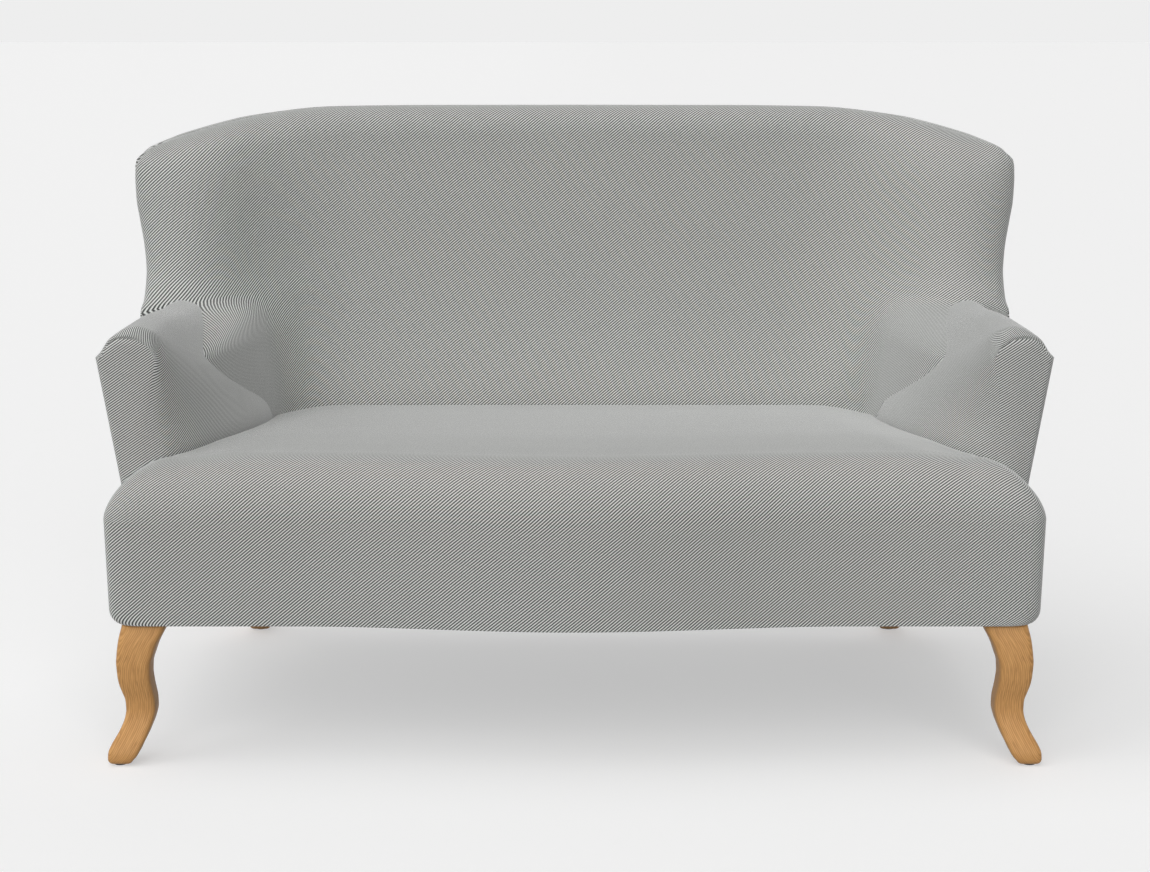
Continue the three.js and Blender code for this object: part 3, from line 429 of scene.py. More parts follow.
def add_leg(name, node, place, kick, side):
    """One leg: a rounded square drawn up through its stations, closed at both ends."""
    form = bmesh.new()
    grain = form.loops.layers.uv.new("grain")
    bmesh.ops.create_grid(form, x_segments=1, y_segments=1, size=0.5)
    bmesh.ops.bevel(
        form, geom=form.verts[:], offset=leg_edge / ankle_width, segments=4, profile=0.5,
        affect="VERTICES", material=-1,
    )
    face = form.faces[:][0]
    unit = [v.co.copy() for v in face.verts]
    shares = [*foot_shares, *(0.045 + 0.955 * n / leg_steps for n in range(leg_steps + 1))]
    grain_places = {}
    for count, share in enumerate(shares):
        if count > 0:
            made = bmesh.ops.extrude_face_region(form, geom=[face])
            bmesh.ops.delete(form, geom=[face], context="FACES_ONLY")
            face = next(g for g in made["geom"] if isinstance(g, bmesh.types.BMFace))
        across = leg_breadth(share)
        for vert, point in zip(face.verts, unit):
            vert.co = (
                side * (place[0] + kick[0] * kick_line(share)) + point.x * across,
                place[1] + kick[1] * kick_line(share) - front_room + point.y * across,
                leg_low + leg_height * share,
            )
            grain_places[vert] = ((side * point.x - point.y) * across, leg_height * share)
    bmesh.ops.holes_fill(form, edges=form.edges[:], sides=0)
    bmesh.ops.recalc_face_normals(form, faces=form.faces[:])
    for face in form.faces:
        for loop in face.loops:
            loop[grain].uv = grain_places[loop.vert]
    for face in form.faces:
        face.smooth = len(face.verts) == 4
    add_piece(form, name, [node], oak)


oak = wood_finish(
    "oak", pale=(0.73, 0.40, 0.152), dark=(0.50, 0.245, 0.082), pore=(0.34, 0.16, 0.055),
    ring_size=210.0, gloss=0.42, grain_map="grain",
)
for word, side in (("right", 1), ("left", -1)):
    add_leg(
        f"{word}_front_oak_leg", f"{word}_front_leg", front_leg_place, (leg_kick, -leg_kick), side
    )
    add_leg(f"{word}_rear_oak_leg", f"{word}_rear_leg", rear_leg_place, (0.0, rear_kick), side)


# Glides: four small nylon discs nailed under the feet, so that the legs slide without marking the
# floor. They keep the shape of their solids.
nylon = bpy.data.materials.new("dark_nylon")
tree = new_tree(nylon)
spot = Signal.add(tree, "ShaderNodeTexCoord", output="Object")
scuff = noise(tree, spot, 350.0, 4.0)
colour = Signal.add(
    tree, "ShaderNodeValToRGB",
    {"stops": [(0.35, (0.045, 0.040, 0.035)), (0.75, (0.085, 0.078, 0.070))]}, {0: scuff}, "Color",
)
add_surface(tree, {"Base Color": colour, "Roughness": 0.45 + scuff * 0.25})
give_finish(
    ["right_front_glide", "left_front_glide", "right_rear_glide", "left_rear_glide"], nylon
)


# Inside back: foam on the back frame under one piece of twill, hollowed between two low wings and
# rolled over the crest and over the wing edges, where it is sewn to the outside covers.
back_height = 0.933
wing_half_width = 0.729
back_root = 0.425
seat_to_back = 0.600
back_lean = 0.065
wing_reach = 0.150
wing_start = 0.365
wing_middle = 0.555
wing_crest = 0.645
side_roll_width = 0.072
top_roll_height = 0.048
roll_sharpness = 6
crest_depth = 0.710
wing_seam_depth = 0.604
wing_corner_height = 0.848
back_stuffing = 0.004
back_half_columns = 110
back_side_pull = 1.5
back_lower_rows = 40
back_upper_rows = 60
back_top_pull = 1.7
shortest_edge = 0.00001

wing_width_line = smooth_line([
    (0.44, 0.968), (0.643, 0.968), (0.654, 0.971), (0.708, 0.971), (0.75, 0.976),
    (0.803, 0.989), (0.837, 0.997), (0.881, 1.0), (0.897, 0.9992), (0.909, 0.996),
])
crest_height_line = smooth_line([
    (0.0, 1.0), (0.4, 0.9995), (0.45, 0.999), (0.561, 0.9975), (0.705, 0.9855), (0.782, 0.9737),
    (0.835, 0.9635), (0.8875, 0.952), (0.9125, 0.9445), (0.938, 0.9373), (0.959, 0.9305),
    (0.978, 0.9208), (0.99, 0.9135), (0.996, 0.909),
])
crest_depth_line = smooth_line([
    (0.0, 1.0), (0.41, 1.0), (0.561, 0.962), (0.705, 0.811), (0.782, 0.613), (0.8875, 0.434),
    (0.959, 0.104), (0.991, 0.0),
])
back_lean_line = smooth_line([
    (0.44, -0.06), (0.466, 0.0), (0.557, 0.323), (0.6, 0.46), (0.6645, 0.615), (0.7395, 0.754),
    (0.8146, 0.846), (0.943, 1.0), (1.0, 1.03),
])
wing_reach_line = smooth_line([
    (0.44, 0.36), (0.466, 0.4), (0.493, 0.653), (0.563, 1.0), (0.6645, 1.0), (0.7074, 0.853),
    (0.791, 0.72), (0.881, 0.613), (0.924, 0.48), (0.9646, 0.3), (1.0, 0.2),
])
wing_seam_line = smooth_line([
    (0.44, 0.95), (0.466, 0.93), (0.493, 0.87), (0.563, 0.83), (0.643, 0.82), (0.654, 0.828),
    (0.668, 0.8775), (0.683, 0.902), (0.7074, 0.927), (0.75, 0.952), (0.803, 0.977),
    (0.837, 0.988), (0.881, 0.997), (0.909, 1.0),
])


def clamp(value):
    return min(1.0, max(0.0, value))


def ease(value):
    t = clamp(value)
    return t * t * (3 - 2 * t)


def wing_width(z):
    return wing_half_width * wing_width_line(z / back_height)


def crest_height(x):
    return back_height * crest_height_line(abs(x) / wing_half_width)


def crest_line(x):
    share = crest_depth_line(abs(x) / wing_half_width)
    return wing_seam_depth + (crest_depth - wing_seam_depth) * share


def back_line(x, z):
    """Depth of the inside back's face, which comes forward into the wings."""
    at = abs(x)
    rise = wing_middle - wing_start
    fall = wing_crest - wing_middle
    total = wing_reach * wing_reach_line(z / back_height)
    bend = total / (rise * (rise + fall) / 2)
    forward = total
    if at < wing_start:
        forward = 0.0
    elif at < wing_middle:
        forward = bend * (at - wing_start) ** 2 / 2
    elif at < wing_crest:
        past = at - wing_middle
        forward = bend * (rise * rise / 2 + rise * past - rise * past * past / (2 * fall))
    return seat_to_back + back_lean * back_lean_line(z / back_height) - forward


def back_point(u, v):
    """A point of the inside back: u from wing edge to wing edge, v from the seat to the crest."""
    t = abs(u)
    side = 1.0 if u >= 0 else -1.0
    side_z = back_root + (wing_corner_height - back_root) * v
    seam_y = wing_seam_depth * wing_seam_line(side_z / back_height)
    corner_x = wing_width(wing_corner_height)
    crest_x = corner_x * t
    root_x = wing_width(back_root)
    x = v * crest_x + (1 - v) * root_x * t
    x += t * (wing_width(side_z) - v * corner_x - (1 - v) * root_x)
    middle_z = back_root + (back_height - back_root) * v
    z = v * crest_height(crest_x) + (1 - v) * back_root
    z += (1 - t) * (middle_z - v * back_height - (1 - v) * back_root)
    z += t * (side_z - v * wing_corner_height - (1 - v) * back_root)
    side_roll = clamp(1 - (1 - t) * wing_width(side_z) / side_roll_width)
    top_roll = clamp(1 - (1 - v) * (crest_height(crest_x) - back_root) / top_roll_height)
    side_pull = side_roll ** roll_sharpness
    top_pull = top_roll ** roll_sharpness
    both = side_pull + top_pull
    reach = min(1.0, both ** (1 / roll_sharpness))
    y = back_line(x, z)
    if both > 0:
        edge_y = (side_pull * seam_y + top_pull * crest_line(crest_x)) / both
        y += (edge_y - y) * (1 - math.sqrt(1 - reach * reach))
    return Vector((side * x, y - front_room, z))


def gathered(count, pull):
    """Places from 0 to 1 that stand closer together towards 1."""
    return [1 - (1 - n / count) ** pull for n in range(count + 1)]


def width_step(a, b):
    """The way along the cloth from one point to the next, seen from above."""
    return (b - a).xy.length


def measure(points, upward=lambda a, b: (b - a).length):
    """How far along the cloth each point lies: across, and up or down from a level row."""
    wide = len(points)
    high = len(points[0])
    start = min(range(wide), key=lambda i: abs(points[i][high // 2].x))
    places = [[[0.0, 0.0] for _ in range(high)] for _ in range(wide)]
    for j in range(high):
        places[start][j][0] = points[start][j].x
        for i in range(start + 1, wide):
            places[i][j][0] = places[i - 1][j][0] + width_step(points[i - 1][j], points[i][j])
        for i in range(start - 1, -1, -1):
            places[i][j][0] = places[i + 1][j][0] - width_step(points[i + 1][j], points[i][j])
    level = high // 2
    for i in range(wide):
        places[i][level][1] = points[i][level].z
        for j in range(level + 1, high):
            places[i][j][1] = places[i][j - 1][1] + upward(points[i][j - 1], points[i][j])
        for j in range(level - 1, -1, -1):
            places[i][j][1] = places[i][j + 1][1] - upward(points[i][j], points[i][j + 1])
    return places


def lay_grid(form, points, places, flip=False):
    """A grid moved onto the given points, with the cloth's own measure as its UV map."""
    weave = form.loops.layers.uv.get("weave") or form.loops.layers.uv.new("weave")
    wide = len(points) - 1
    high = len(points[0]) - 1
    made = bmesh.ops.create_grid(form, x_segments=wide, y_segments=high, size=0.5)["verts"]
    spots = {v: (round((v.co.x + 0.5) * wide), round((v.co.y + 0.5) * high)) for v in made}
    faces = {face for v in made for face in v.link_faces}
    for vert, (i, j) in spots.items():
        vert.co = points[i][j]
    for face in faces:
        for loop in face.loops:
            i, j = spots[loop.vert]
            loop[weave].uv = places[i][j]
    if flip:
        bmesh.ops.reverse_faces(form, faces=list(faces))


def finish_cover(form, name, nodes, stuffing):
    """The form as a closed twill cover on its stuffing, in place of the nodes' solids."""
    bmesh.ops.remove_doubles(form, verts=form.verts, dist=weld_distance)
    bmesh.ops.dissolve_degenerate(form, edges=form.edges, dist=shortest_edge)
    for face in form.faces:
        face.smooth = True
    piece = add_piece(form, name, nodes, twill)
    wall = piece.modifiers.new("stuffing", "SOLIDIFY")
    wall.thickness = stuffing
    wall.offset = -1.0
    wall.use_even_offset = False


# Twill: the cloth of all the covers, woven of grey and white yarn in fine ribs that rise to the
# right on every panel. It follows each panel's own measure round its rolls and edges.
rib_across = 0.00566
rib_up = 0.00470
rib_wander = 3.0
yarn_wander = 2.0
yarn_share = 0.14
twill_pale = (0.815, 0.828, 0.803)
twill_dark = (0.059, 0.0605, 0.058)
twill = bpy.data.materials.new("grey_white_twill")
tree = new_tree(twill)
place = Signal.add(tree, "ShaderNodeUVMap", {"uv_map": "weave"})
sideways = Signal.add(tree, "ShaderNodeSeparateXYZ", values={0: place}, output="X")
upwards = Signal.add(tree, "ShaderNodeSeparateXYZ", values={0: place}, output="Y")
drift = noise(tree, place, 9.0, 2.0)
slub = noise(tree, place, 420.0, 2.0)
full_turn = 2 * math.pi
ribs = sideways * (full_turn / rib_across) - upwards * (full_turn / rib_up) + drift * rib_wander
yarn = sideways * (full_turn / rib_across) + upwards * (full_turn / rib_up) + slub * yarn_wander
rib_height = (ribs.math("COSINE") + 1.0) * 0.5
yarn_height = (yarn.math("COSINE") + 1.0) * 0.5
height = rib_height * (1 - yarn_share + yarn_height * yarn_share)
shade = Signal.add(
    tree, "ShaderNodeMapRange",
    values={"Value": height + slub * 0.3 - 0.15, "From Min": 0.16, "From Max": 0.84},
)
colour = blend_colours(shade, (*twill_dark, 1.0), (*twill_pale, 1.0))
relief = Signal.add(
    tree, "ShaderNodeBump", values={"Height": height, "Strength": 0.35, "Distance": 0.0006}
)
add_surface(tree, {
    "Base Color": colour, "Roughness": 0.9, "Normal": relief, "Specular IOR Level": 0.15,
    "Sheen Weight": 0.7, "Sheen Roughness": 0.5,
})


# Arms: padded on their frames. Their section runs from the seat over the top to the outside seam
# and narrows to the rear, where the inside back meets it.
arm_front = 0.090
arm_end = 0.620
arm_root = 0.425
arm_top = 0.638
arm_inner = 0.514
arm_outer = 0.7035
arm_low_inset = 0.018
arm_high_inset = 0.030
arm_splay = 0.006
arm_shoulder_drop = 0.010
arm_rear_drop = 0.011
arm_drop_start = 0.22
arm_drop_length = 0.22
arm_taper_start = 0.120
arm_taper_end = 0.480
arm_roll_depth = 0.100
wing_join = 0.474
wing_join_length = 0.014
wing_hide_depth = 0.008
arm_inner_end = 0.7
arm_inner_fade = 0.5
arm_outer_start = 0.6
arm_outer_fade = 0.4
arm_shoulder_start = 0.7
arm_shoulder_rise = 0.15
arm_shoulder_fall = 0.08
arm_rear_fall = 0.1
least_width = 1e-6
arm_sections = {}
arm_stations = [
    (0, 0), (0.043, 0.141), (0.167, 0.352), (0.301, 0.587), (0.419, 0.775), (0.495, 0.892),
    (0.57, 0.967), (0.677, 1), (0.747, 0.988), (0.812, 0.960), (0.895, 0.908), (0.957, 0.825),
    (1, 0.785),
]
arm_across_line = smooth_line([(n, p[0]) for n, p in enumerate(arm_stations)])
arm_up_line = smooth_line([(n, p[1]) for n, p in enumerate(arm_stations)])


def taper(y):
    return ease((y - arm_taper_start) / (arm_taper_end - arm_taper_start))


def arm_point(k, y):
    """Across and height of the arm's section at station k of 12 and depth y, on the right side."""
    across = arm_across_line(k)
    up = arm_up_line(k)
    inner = clamp((arm_inner_end - across) / arm_inner_fade)
    outer = clamp((across - arm_outer_start) / arm_outer_fade)
    inset = arm_low_inset + (arm_high_inset - arm_low_inset) * up
    hidden = wing_hide_depth * ease((y - wing_join) / wing_join_length)
    shoulder = ease((across - arm_shoulder_start) / arm_shoulder_rise)
    shoulder *= ease((1 - across) / arm_shoulder_fall)
    rear = up * up * ease((1 - across) / arm_rear_fall)
    rear *= ease((y - arm_drop_start) / arm_drop_length)
    x = arm_inner + (arm_outer - arm_inner) * across - inset * inner * taper(y)
    z = arm_root + (arm_top - arm_root) * up - arm_shoulder_drop * shoulder * taper(y)
    z -= arm_rear_drop * rear
    return x + (arm_splay * taper(y) - hidden) * outer, z


def depth_in_arm(point):
    """How far a point lies inside an arm's section, below 0 outside."""
    y = round(min(max(point.y + front_room, arm_taper_start), wing_join), 3)
    if y not in arm_sections:
        arm_sections[y] = [arm_point(n / 2, y) for n in range(2 * len(arm_stations) - 1)]
    line = arm_sections[y]
    x = abs(point.x)
    nearest = min(math.hypot(x - a, point.z - b) for a, b in line)
    top = -math.inf
    for (ax, az), (bx, bz) in zip(line, line[1:]):
        if ax <= x <= bx:
            top = az + (bz - az) * (x - ax) / max(bx - ax, least_width)
    if x > line[-1][0]:
        top = line[-1][1]
    return nearest if point.z < top else -nearest


# Hollows: where the inside back meets the inside arms, its cloth runs forward into them in a
# curve, which ends under the arm's rounded top.
hollow_radius = 0.062
hollow_root = 0.489
hollow_lean = 0.14
hollow_slope = 4.2
hollow_depth = 0.250
hollow_levelling = 4
hollow_fade_start = 0.560
hollow_end = 0.632
hollow_tangent = 0.973
hollow_outer = 0.595
hollow_outer_fade = 0.050
trim_depth = 0.016
trim_top = 0.630


def hollow(point):
    """A point of the inside back, moved forward where it turns into the arm."""
    fade = 1 - ease((point.z - hollow_fade_start) / (hollow_end - hollow_fade_start))
    fade *= 1 - ease((abs(point.x) - hollow_outer) / hollow_outer_fade)
    past = abs(point.x) - hollow_root - hollow_lean * (point.z - back_root) + hollow_radius
    reach = clamp(past / hollow_radius) * hollow_tangent
    forward = hollow_radius * (1 - math.sqrt(1 - reach * reach))
    forward += max(past - hollow_radius, 0.0) * hollow_slope
    level = (1 + (forward / hollow_depth) ** hollow_levelling) ** (1 / hollow_levelling)
    point.y -= fade * forward / level
    return point


def back_rise(a, b):
    """The way up the inside back's cloth. Depth counts only where it rolls over the crest."""
    step = b - a
    share = ease((b.z - crest_height(b.x)) / top_roll_height + 1)
    return math.hypot(step.z, step.y * share)


half = gathered(back_half_columns, back_side_pull)
spread = [-u for u in reversed(half)] + half[1:]
rise = [0.5 * n / back_lower_rows for n in range(back_lower_rows)]
rise += [0.5 + 0.5 * v for v in gathered(back_upper_rows, back_top_pull)]
points = [[hollow(back_point(u, v)) for v in rise] for u in spread]
back = bmesh.new()
lay_grid(back, points, measure(points, back_rise))
hidden = [
    face for face in back.faces
    if all(depth_in_arm(v.co) > trim_depth for v in face.verts)
    and face.calc_center_median().z < trim_top
]
bmesh.ops.delete(back, geom=hidden, context="FACES")
finish_cover(back, "inside_back", ["inside_back_cover", "back_foam"], back_stuffing)


# Arm covers: foam pads on the arm frame under twill, drawn in one piece from the seat up over the
# rounded top and forward round the front edge. The flat front has a mitred crease under its top.
arm_face_stations = [
    (0.53, 0), (0.555, 0.141), (0.59, 0.352), (0.565, 0.587), (0.530, 0.75), (0.565, 0.84),
    (0.625, 0.89), (0.7, 0.915), (0.755, 0.921), (0.812, 0.919), (0.872, 0.894), (0.930, 0.822),
    (0.950, 0.785),
]
arm_rolls = [3.3, 3.2, 2.8, 2.0, 1.1, 0.5, 0.24, 0.17, 0.17, 0.17, 0.16, 0.15, 0.15]
cover_bottom = 0.209
strip_inset_share = 0.67
shell_half_width = 0.672
side_bend = 0.400
arm_stuffing = 0.003
face_crown = 0.003
crown_width = 0.05
crease_depth = 0.0035
crease_width = 0.0024
crease_start = 4.2
crease_start_length = 0.9
crease_least = 0.3
crease_middle = 5.8
crease_middle_length = 1.6
crease_end = 11.1
crease_end_length = 0.7
arm_measure_depth = 0.3
inner_measure_end = 4.6
top_measure_start = 4.3
top_measure_length = 0.8
station_steps = 8
arm_rows = 56
face_split = 68
strip_rows = 41
arm_weave_pull = 1.2
face_across_line = smooth_line([(n, p[0]) for n, p in enumerate(arm_face_stations)])
face_up_line = smooth_line([(n, p[1]) for n, p in enumerate(arm_face_stations)])
roll_line = smooth_line(list(enumerate(arm_rolls)))
arm_seam_height = arm_root + (arm_top - arm_root) * arm_stations[-1][1]


def shell_width(y, z):
    """Half width of the outside cover, which flares up to the arm and runs on into the wing."""
    edge = arm_outer + arm_splay * taper(y)
    if z <= side_bend:
        return shell_half_width
    if z < arm_seam_height:
        share = (z - side_bend) / (arm_seam_height - side_bend)
        return shell_half_width + (edge - shell_half_width) * share
    above = clamp((z - arm_seam_height) / (arm_top - arm_seam_height))
    return edge * (1 - above) + wing_width(z) * above


def crease_share(k):
    """How deep the crease is at station k of the arm's section, from 0 to 1."""
    deep = crease_least + (1 - crease_least) * ease((k - crease_middle) / crease_middle_length)
    deep *= ease((k - crease_start) / crease_start_length)
    return deep * ease((crease_end - k) / crease_end_length)


def face_point(k):
    across = arm_inner + (arm_outer - arm_inner) * face_across_line(k)
    return across, arm_root + (arm_top - arm_root) * face_up_line(k)


def arm_skin_point(k, turn, y=None):
    """A point of the arm at station k: on the front roll at a turn, or further back at depth y."""
    if y is not None:
        x, z = arm_point(k, y)
        return Vector((x, y, z))
    y = arm_front + arm_roll_depth * roll_line(k) * (1 - math.cos(turn))
    face_x, face_z = face_point(k)
    side_x, side_z = arm_point(k, y)
    x = face_x + (side_x - face_x) * math.sin(turn)
    z = face_z + (side_z - face_z) * math.sin(turn)
    away = math.hypot(side_x - face_x, side_z - face_z) * math.sin(turn)
    groove = crease_depth * crease_share(k) * math.exp(-((away / crease_width) ** 2))
    return Vector((x, y + groove, z))


def front_strip_point(z, turn):
    radius = arm_roll_depth * arm_rolls[-1]
    x = shell_width(arm_front, z) - radius * strip_inset_share * (1 - math.sin(turn))
    return Vector((x, arm_front + radius * (1 - math.cos(turn)), z))


def path_lengths(points):
    """Distance along a row of points, from 0 at the first."""
    lengths = [0.0]
    for a, b in zip(points, points[1:]):
        lengths.append(lengths[-1] + (b - a).length)
    return lengths


stations = [n / station_steps for n in range((len(arm_stations) - 1) * station_steps + 1)]
turns = [math.radians(t) for t in (0, 3, 6, 9, 13, 18, 24, 31, 39, 48, 58, 68, 79, 90)]
backward = gathered(arm_rows, 1.0)[1:]
arm_points = []
for k in stations:
    start = arm_front + arm_roll_depth * roll_line(k)
    column = [arm_skin_point(k, turn) for turn in turns]
    column += [arm_skin_point(k, None, start + (arm_end - start) * t) for t in backward]
    arm_points.append(column)
section = [Vector((x, 0, z)) for x, z in (arm_point(k, arm_measure_depth) for k in stations)]
around = [arm_root + s for s in path_lengths(section)]
arm_places = []
for n, k in enumerate(stations):
    start_x = face_point(min(k, inner_measure_end))[0]
    column = []
    for m, length in enumerate(path_lengths(arm_points[n])):
        turned = math.sin(turns[m]) if m < len(turns) else 1.0
        share = max(turned, ease((k - top_measure_start) / top_measure_length))
        height = face_point(k)[1] * (1 - share) + around[n] * share
        column.append((start_x - length, height * arm_weave_pull))
    arm_places.append(column)

strip_heights = [
    arm_seam_height - (arm_seam_height - cover_bottom) * n / strip_rows
    for n in range(1, strip_rows + 1)
]
strip_points = [arm_points[-1][:len(turns)]]
strip_points += [[front_strip_point(z, turn) for turn in turns] for z in strip_heights]
strip_places = []
for row in strip_points:
    strip_places.append([(row[0].x + s, row[0].z * arm_weave_pull) for s in path_lengths(row)])

face_left = [arm_points[n][0] for n in range(face_split + 1)]
face_right = [row[0] for row in reversed(strip_points[1:])]
face_right += [arm_points[n][0] for n in range(len(stations) - 1, face_split, -1)]
crease_line = [
    (column[0], crease_share(k)) for column, k in zip(arm_points, stations) if k > crease_start
]
rung_shares = [
    0, 0.01, 0.025, 0.05, 0.1, 0.18, 0.3, 0.42, 0.58, 0.7, 0.82, 0.9, 0.95, 0.975, 0.99, 1,
]
face_points = []
for left, right in zip(face_left, face_right):
    rung = []
    for t in rung_shares:
        point = left.lerp(right, t)
        if 0 < t < 1:
            near = max(
                share * math.exp(-(((point - p).xz.length / crease_width) ** 2))
                for p, share in crease_line
            )
            crown = face_crown * 4 * t * (1 - t) * clamp((right - left).length / crown_width)
            point.y = arm_front + crease_depth * near - crown
        rung.append(point)
    face_points.append(rung)
face_places = [[(p.x, p.z * arm_weave_pull) for p in rung] for rung in face_points]


def lay_side(form, points, places, side, flip):
    """A grid of the right side, or its mirror image on the left."""
    moved = [[Vector((side * p.x, p.y - front_room, p.z)) for p in row] for row in points]
    laid = [[(side * place[0], place[1]) for place in row] for row in places]
    lay_grid(form, moved, laid, flip)


for word, side in (("right", 1), ("left", -1)):
    arm = bmesh.new()
    for points, places, turned in (
        (arm_points, arm_places, False), (strip_points, strip_places, False),
        (face_points, face_places, True),
    ):
        lay_side(arm, points, places, side, flip=turned == (side > 0))
    finish_cover(
        arm, f"{word}_arm", [f"{word}_arm_cover", f"{word}_arm_pad"], arm_stuffing
    )


# Seat: foam on the springs under one piece of twill, rounded over the bowed front and round both
# ends in front of the arms, and tucked down beside the arms and behind, against the back.
seat_front = 0.011
seat_half_width = 0.688
seat_bottom_taper = 0.004
seat_bottom_radius = 0.020
front_bow = 0.034
bow_half_width = 0.410
wall_top = 0.364
seat_height = 0.455
front_roll_depth = 0.078
end_roll_width = 0.097
roll_length = 0.133
roll_steps = 24
seat_half_columns = 75
seat_end_columns = 44
seat_fine_turns = 3000
seat_bottom_steps = 6
seat_wall_rows = 20
seat_top_rows = 70
seat_crown = 0.006
seat_back_height = 0.436
seat_side_drop = 0.008
end_fullness = 1.65
seat_tuck_depth = 0.060
seat_stuffing = 0.012
corner_sharpness = 7
seat_gap = 0.0027
seat_back_gap = 0.00225
tuck_height = 0.400
tuck_start = -0.285
end_drop_start = 0.82
crown_line = smooth_line([
    (0, 0), (0.1, 0.7), (0.2, 1), (0.38, 0.8), (0.56, 0.6), (0.74, 0.3), (0.88, 0.1), (1, 0),
])
fall_line = smooth_line([
    (0, 0), (0.2, 0), (0.38, 0.12), (0.56, 0.35), (0.74, 0.6), (0.88, 0.82), (1, 1),
])
core_x = seat_half_width - end_roll_width
core_y = seat_front + front_roll_depth


def front_line(x):
    t = min(1.0, abs(x) / bow_half_width)
    return seat_front - front_bow * (1 + math.cos(math.pi * t)) / 2


def arm_side_at(y):
    turn = math.acos(1 - clamp((y - arm_front) / (arm_roll_depth * arm_rolls[0])))
    face = arm_inner + (arm_outer - arm_inner) * arm_face_stations[0][0]
    return face + (arm_inner - face) * math.sin(turn) - arm_low_inset * taper(y)


def end_drop(t):
    """How far the seat falls towards its ends, from 0 in the middle to 1."""
    return ease((abs(t) - end_drop_start) / (1 - end_drop_start))


def seat_back_line(x):
    return back_line(x, seat_back_height + seat_gap) - seat_back_gap


def end_turns(count):
    """Shares across and forward round a seat end, evenly spaced along the cloth."""
    power = 2 / corner_sharpness
    fine = [math.radians(90 * n / seat_fine_turns) for n in range(seat_fine_turns + 1)]
    shares = [(max(math.cos(a), 0) ** power, math.sin(a) ** power) for a in fine]
    flat = [Vector((b * end_roll_width, a * front_roll_depth)) for b, a in shares]
    lengths = path_lengths(flat)
    chosen = []
    k = 0
    for n in range(count + 1):
        while k < seat_fine_turns and lengths[k] < lengths[-1] * n / count:
            k += 1
        chosen.append((shares[k][0], shares[k][1], lengths[-1] - lengths[k]))
    return chosen


ends = end_turns(seat_end_columns)
columns = [(core_x, b, a, 1, length) for b, a, length in ends[:-1]]
columns += [
    (core_x * (1 - n / seat_half_columns), 0.0, 1.0, 1, 0.0)
    for n in range(2 * seat_half_columns + 1)
]
columns += [(-core_x, b, a, -1, length) for b, a, length in reversed(ends[:-1])]


def wall_point(column, share, inset, z):
    x, b, a, side, _ = column
    reach = end_roll_width - inset
    depth = core_y + front_line(x) - seat_front - front_roll_depth * a * share
    return Vector((x + side * reach * b * share, depth - front_room, z))


seat_rows = []
seat_places = []
heights = [
    cover_bottom + seat_bottom_radius * (1 - math.cos(math.radians(90 * n / seat_bottom_steps)))
    for n in range(seat_bottom_steps)
]
start = heights[-1]
heights += [start + (wall_top - start) * n / seat_wall_rows for n in range(1, seat_wall_rows + 1)]
for z in heights:
    t = (z - cover_bottom) / (wall_top - cover_bottom)
    under = clamp(1 - (z - cover_bottom) / seat_bottom_radius)
    inset = seat_bottom_taper * (1 - t) + seat_bottom_radius * (1 - math.sqrt(1 - under * under))
    seat_rows.append([wall_point(c, 1.0, inset, z) for c in columns])
    seat_places.append([(c[0] + c[3] * c[4], z) for c in columns])
for n in range(1, roll_steps + 1):
    share = math.cos(math.radians(90 * n / roll_steps)) if n < roll_steps else 0.0
    row = []
    for c in columns:
        power = 2 + (end_fullness - 2) * c[1] ** 2
        rise_share = (1 - share ** power) ** (1 / power)
        top = seat_height - seat_side_drop * end_drop(c[0] / core_x)
        row.append(wall_point(c, share, 0.0, wall_top + (top - wall_top) * rise_share))
    seat_rows.append(row)
    v = wall_top + roll_length * n / roll_steps
    seat_places.append([(c[0] + c[3] * c[4] * share, v) for c in columns])
seat = bmesh.new()
by_column = [list(line) for line in zip(*seat_rows)]
places_by_column = [list(line) for line in zip(*seat_places)]
lay_grid(seat, by_column, places_by_column, flip=True)

top_shares = [0, 0.005, 0.012, 0.022, 0.035]
top_shares += [0.05 + 0.95 * n / seat_top_rows for n in range(seat_top_rows + 1)]
over_edge = wall_top + roll_length
top_points = []
top_places = []
for n in range(2 * seat_half_columns + 1):
    t = 1 - n / seat_half_columns
    column = []
    for w in top_shares:
        side_y = core_y + (seat_back_line(arm_inner) - core_y) * w
        side_x = min(core_x, arm_side_at(side_y) - seat_gap)
        x = side_x * t
        start = core_y + front_line(x) - seat_front
        y = start + (seat_back_line(x) - start) * w
        z = seat_height + seat_crown * crown_line(w)
        z -= (seat_height - seat_back_height) * fall_line(w) + seat_side_drop * end_drop(t)
        column.append(Vector((x, y - front_room, z)))
    top_points.append(column)
    top_places.append([(p.x, over_edge + s) for p, s in zip(column, path_lengths(column))])
lay_grid(seat, top_points, top_places, flip=True)
bmesh.ops.remove_doubles(seat, verts=seat.verts, dist=weld_distance)
tuck = [
    e for e in seat.edges
    if e.is_boundary and min(v.co.z for v in e.verts) > tuck_height
    and max(v.co.y for v in e.verts) > tuck_start
]
made = bmesh.ops.extrude_edge_only(seat, edges=tuck)["geom"]
sunk = [g for g in made if isinstance(g, bmesh.types.BMVert)]
bmesh.ops.translate(seat, vec=(0.0, 0.0, -seat_tuck_depth), verts=sunk)
finish_cover(seat, "seat", ["seat_cover", "seat_foam"], seat_stuffing)


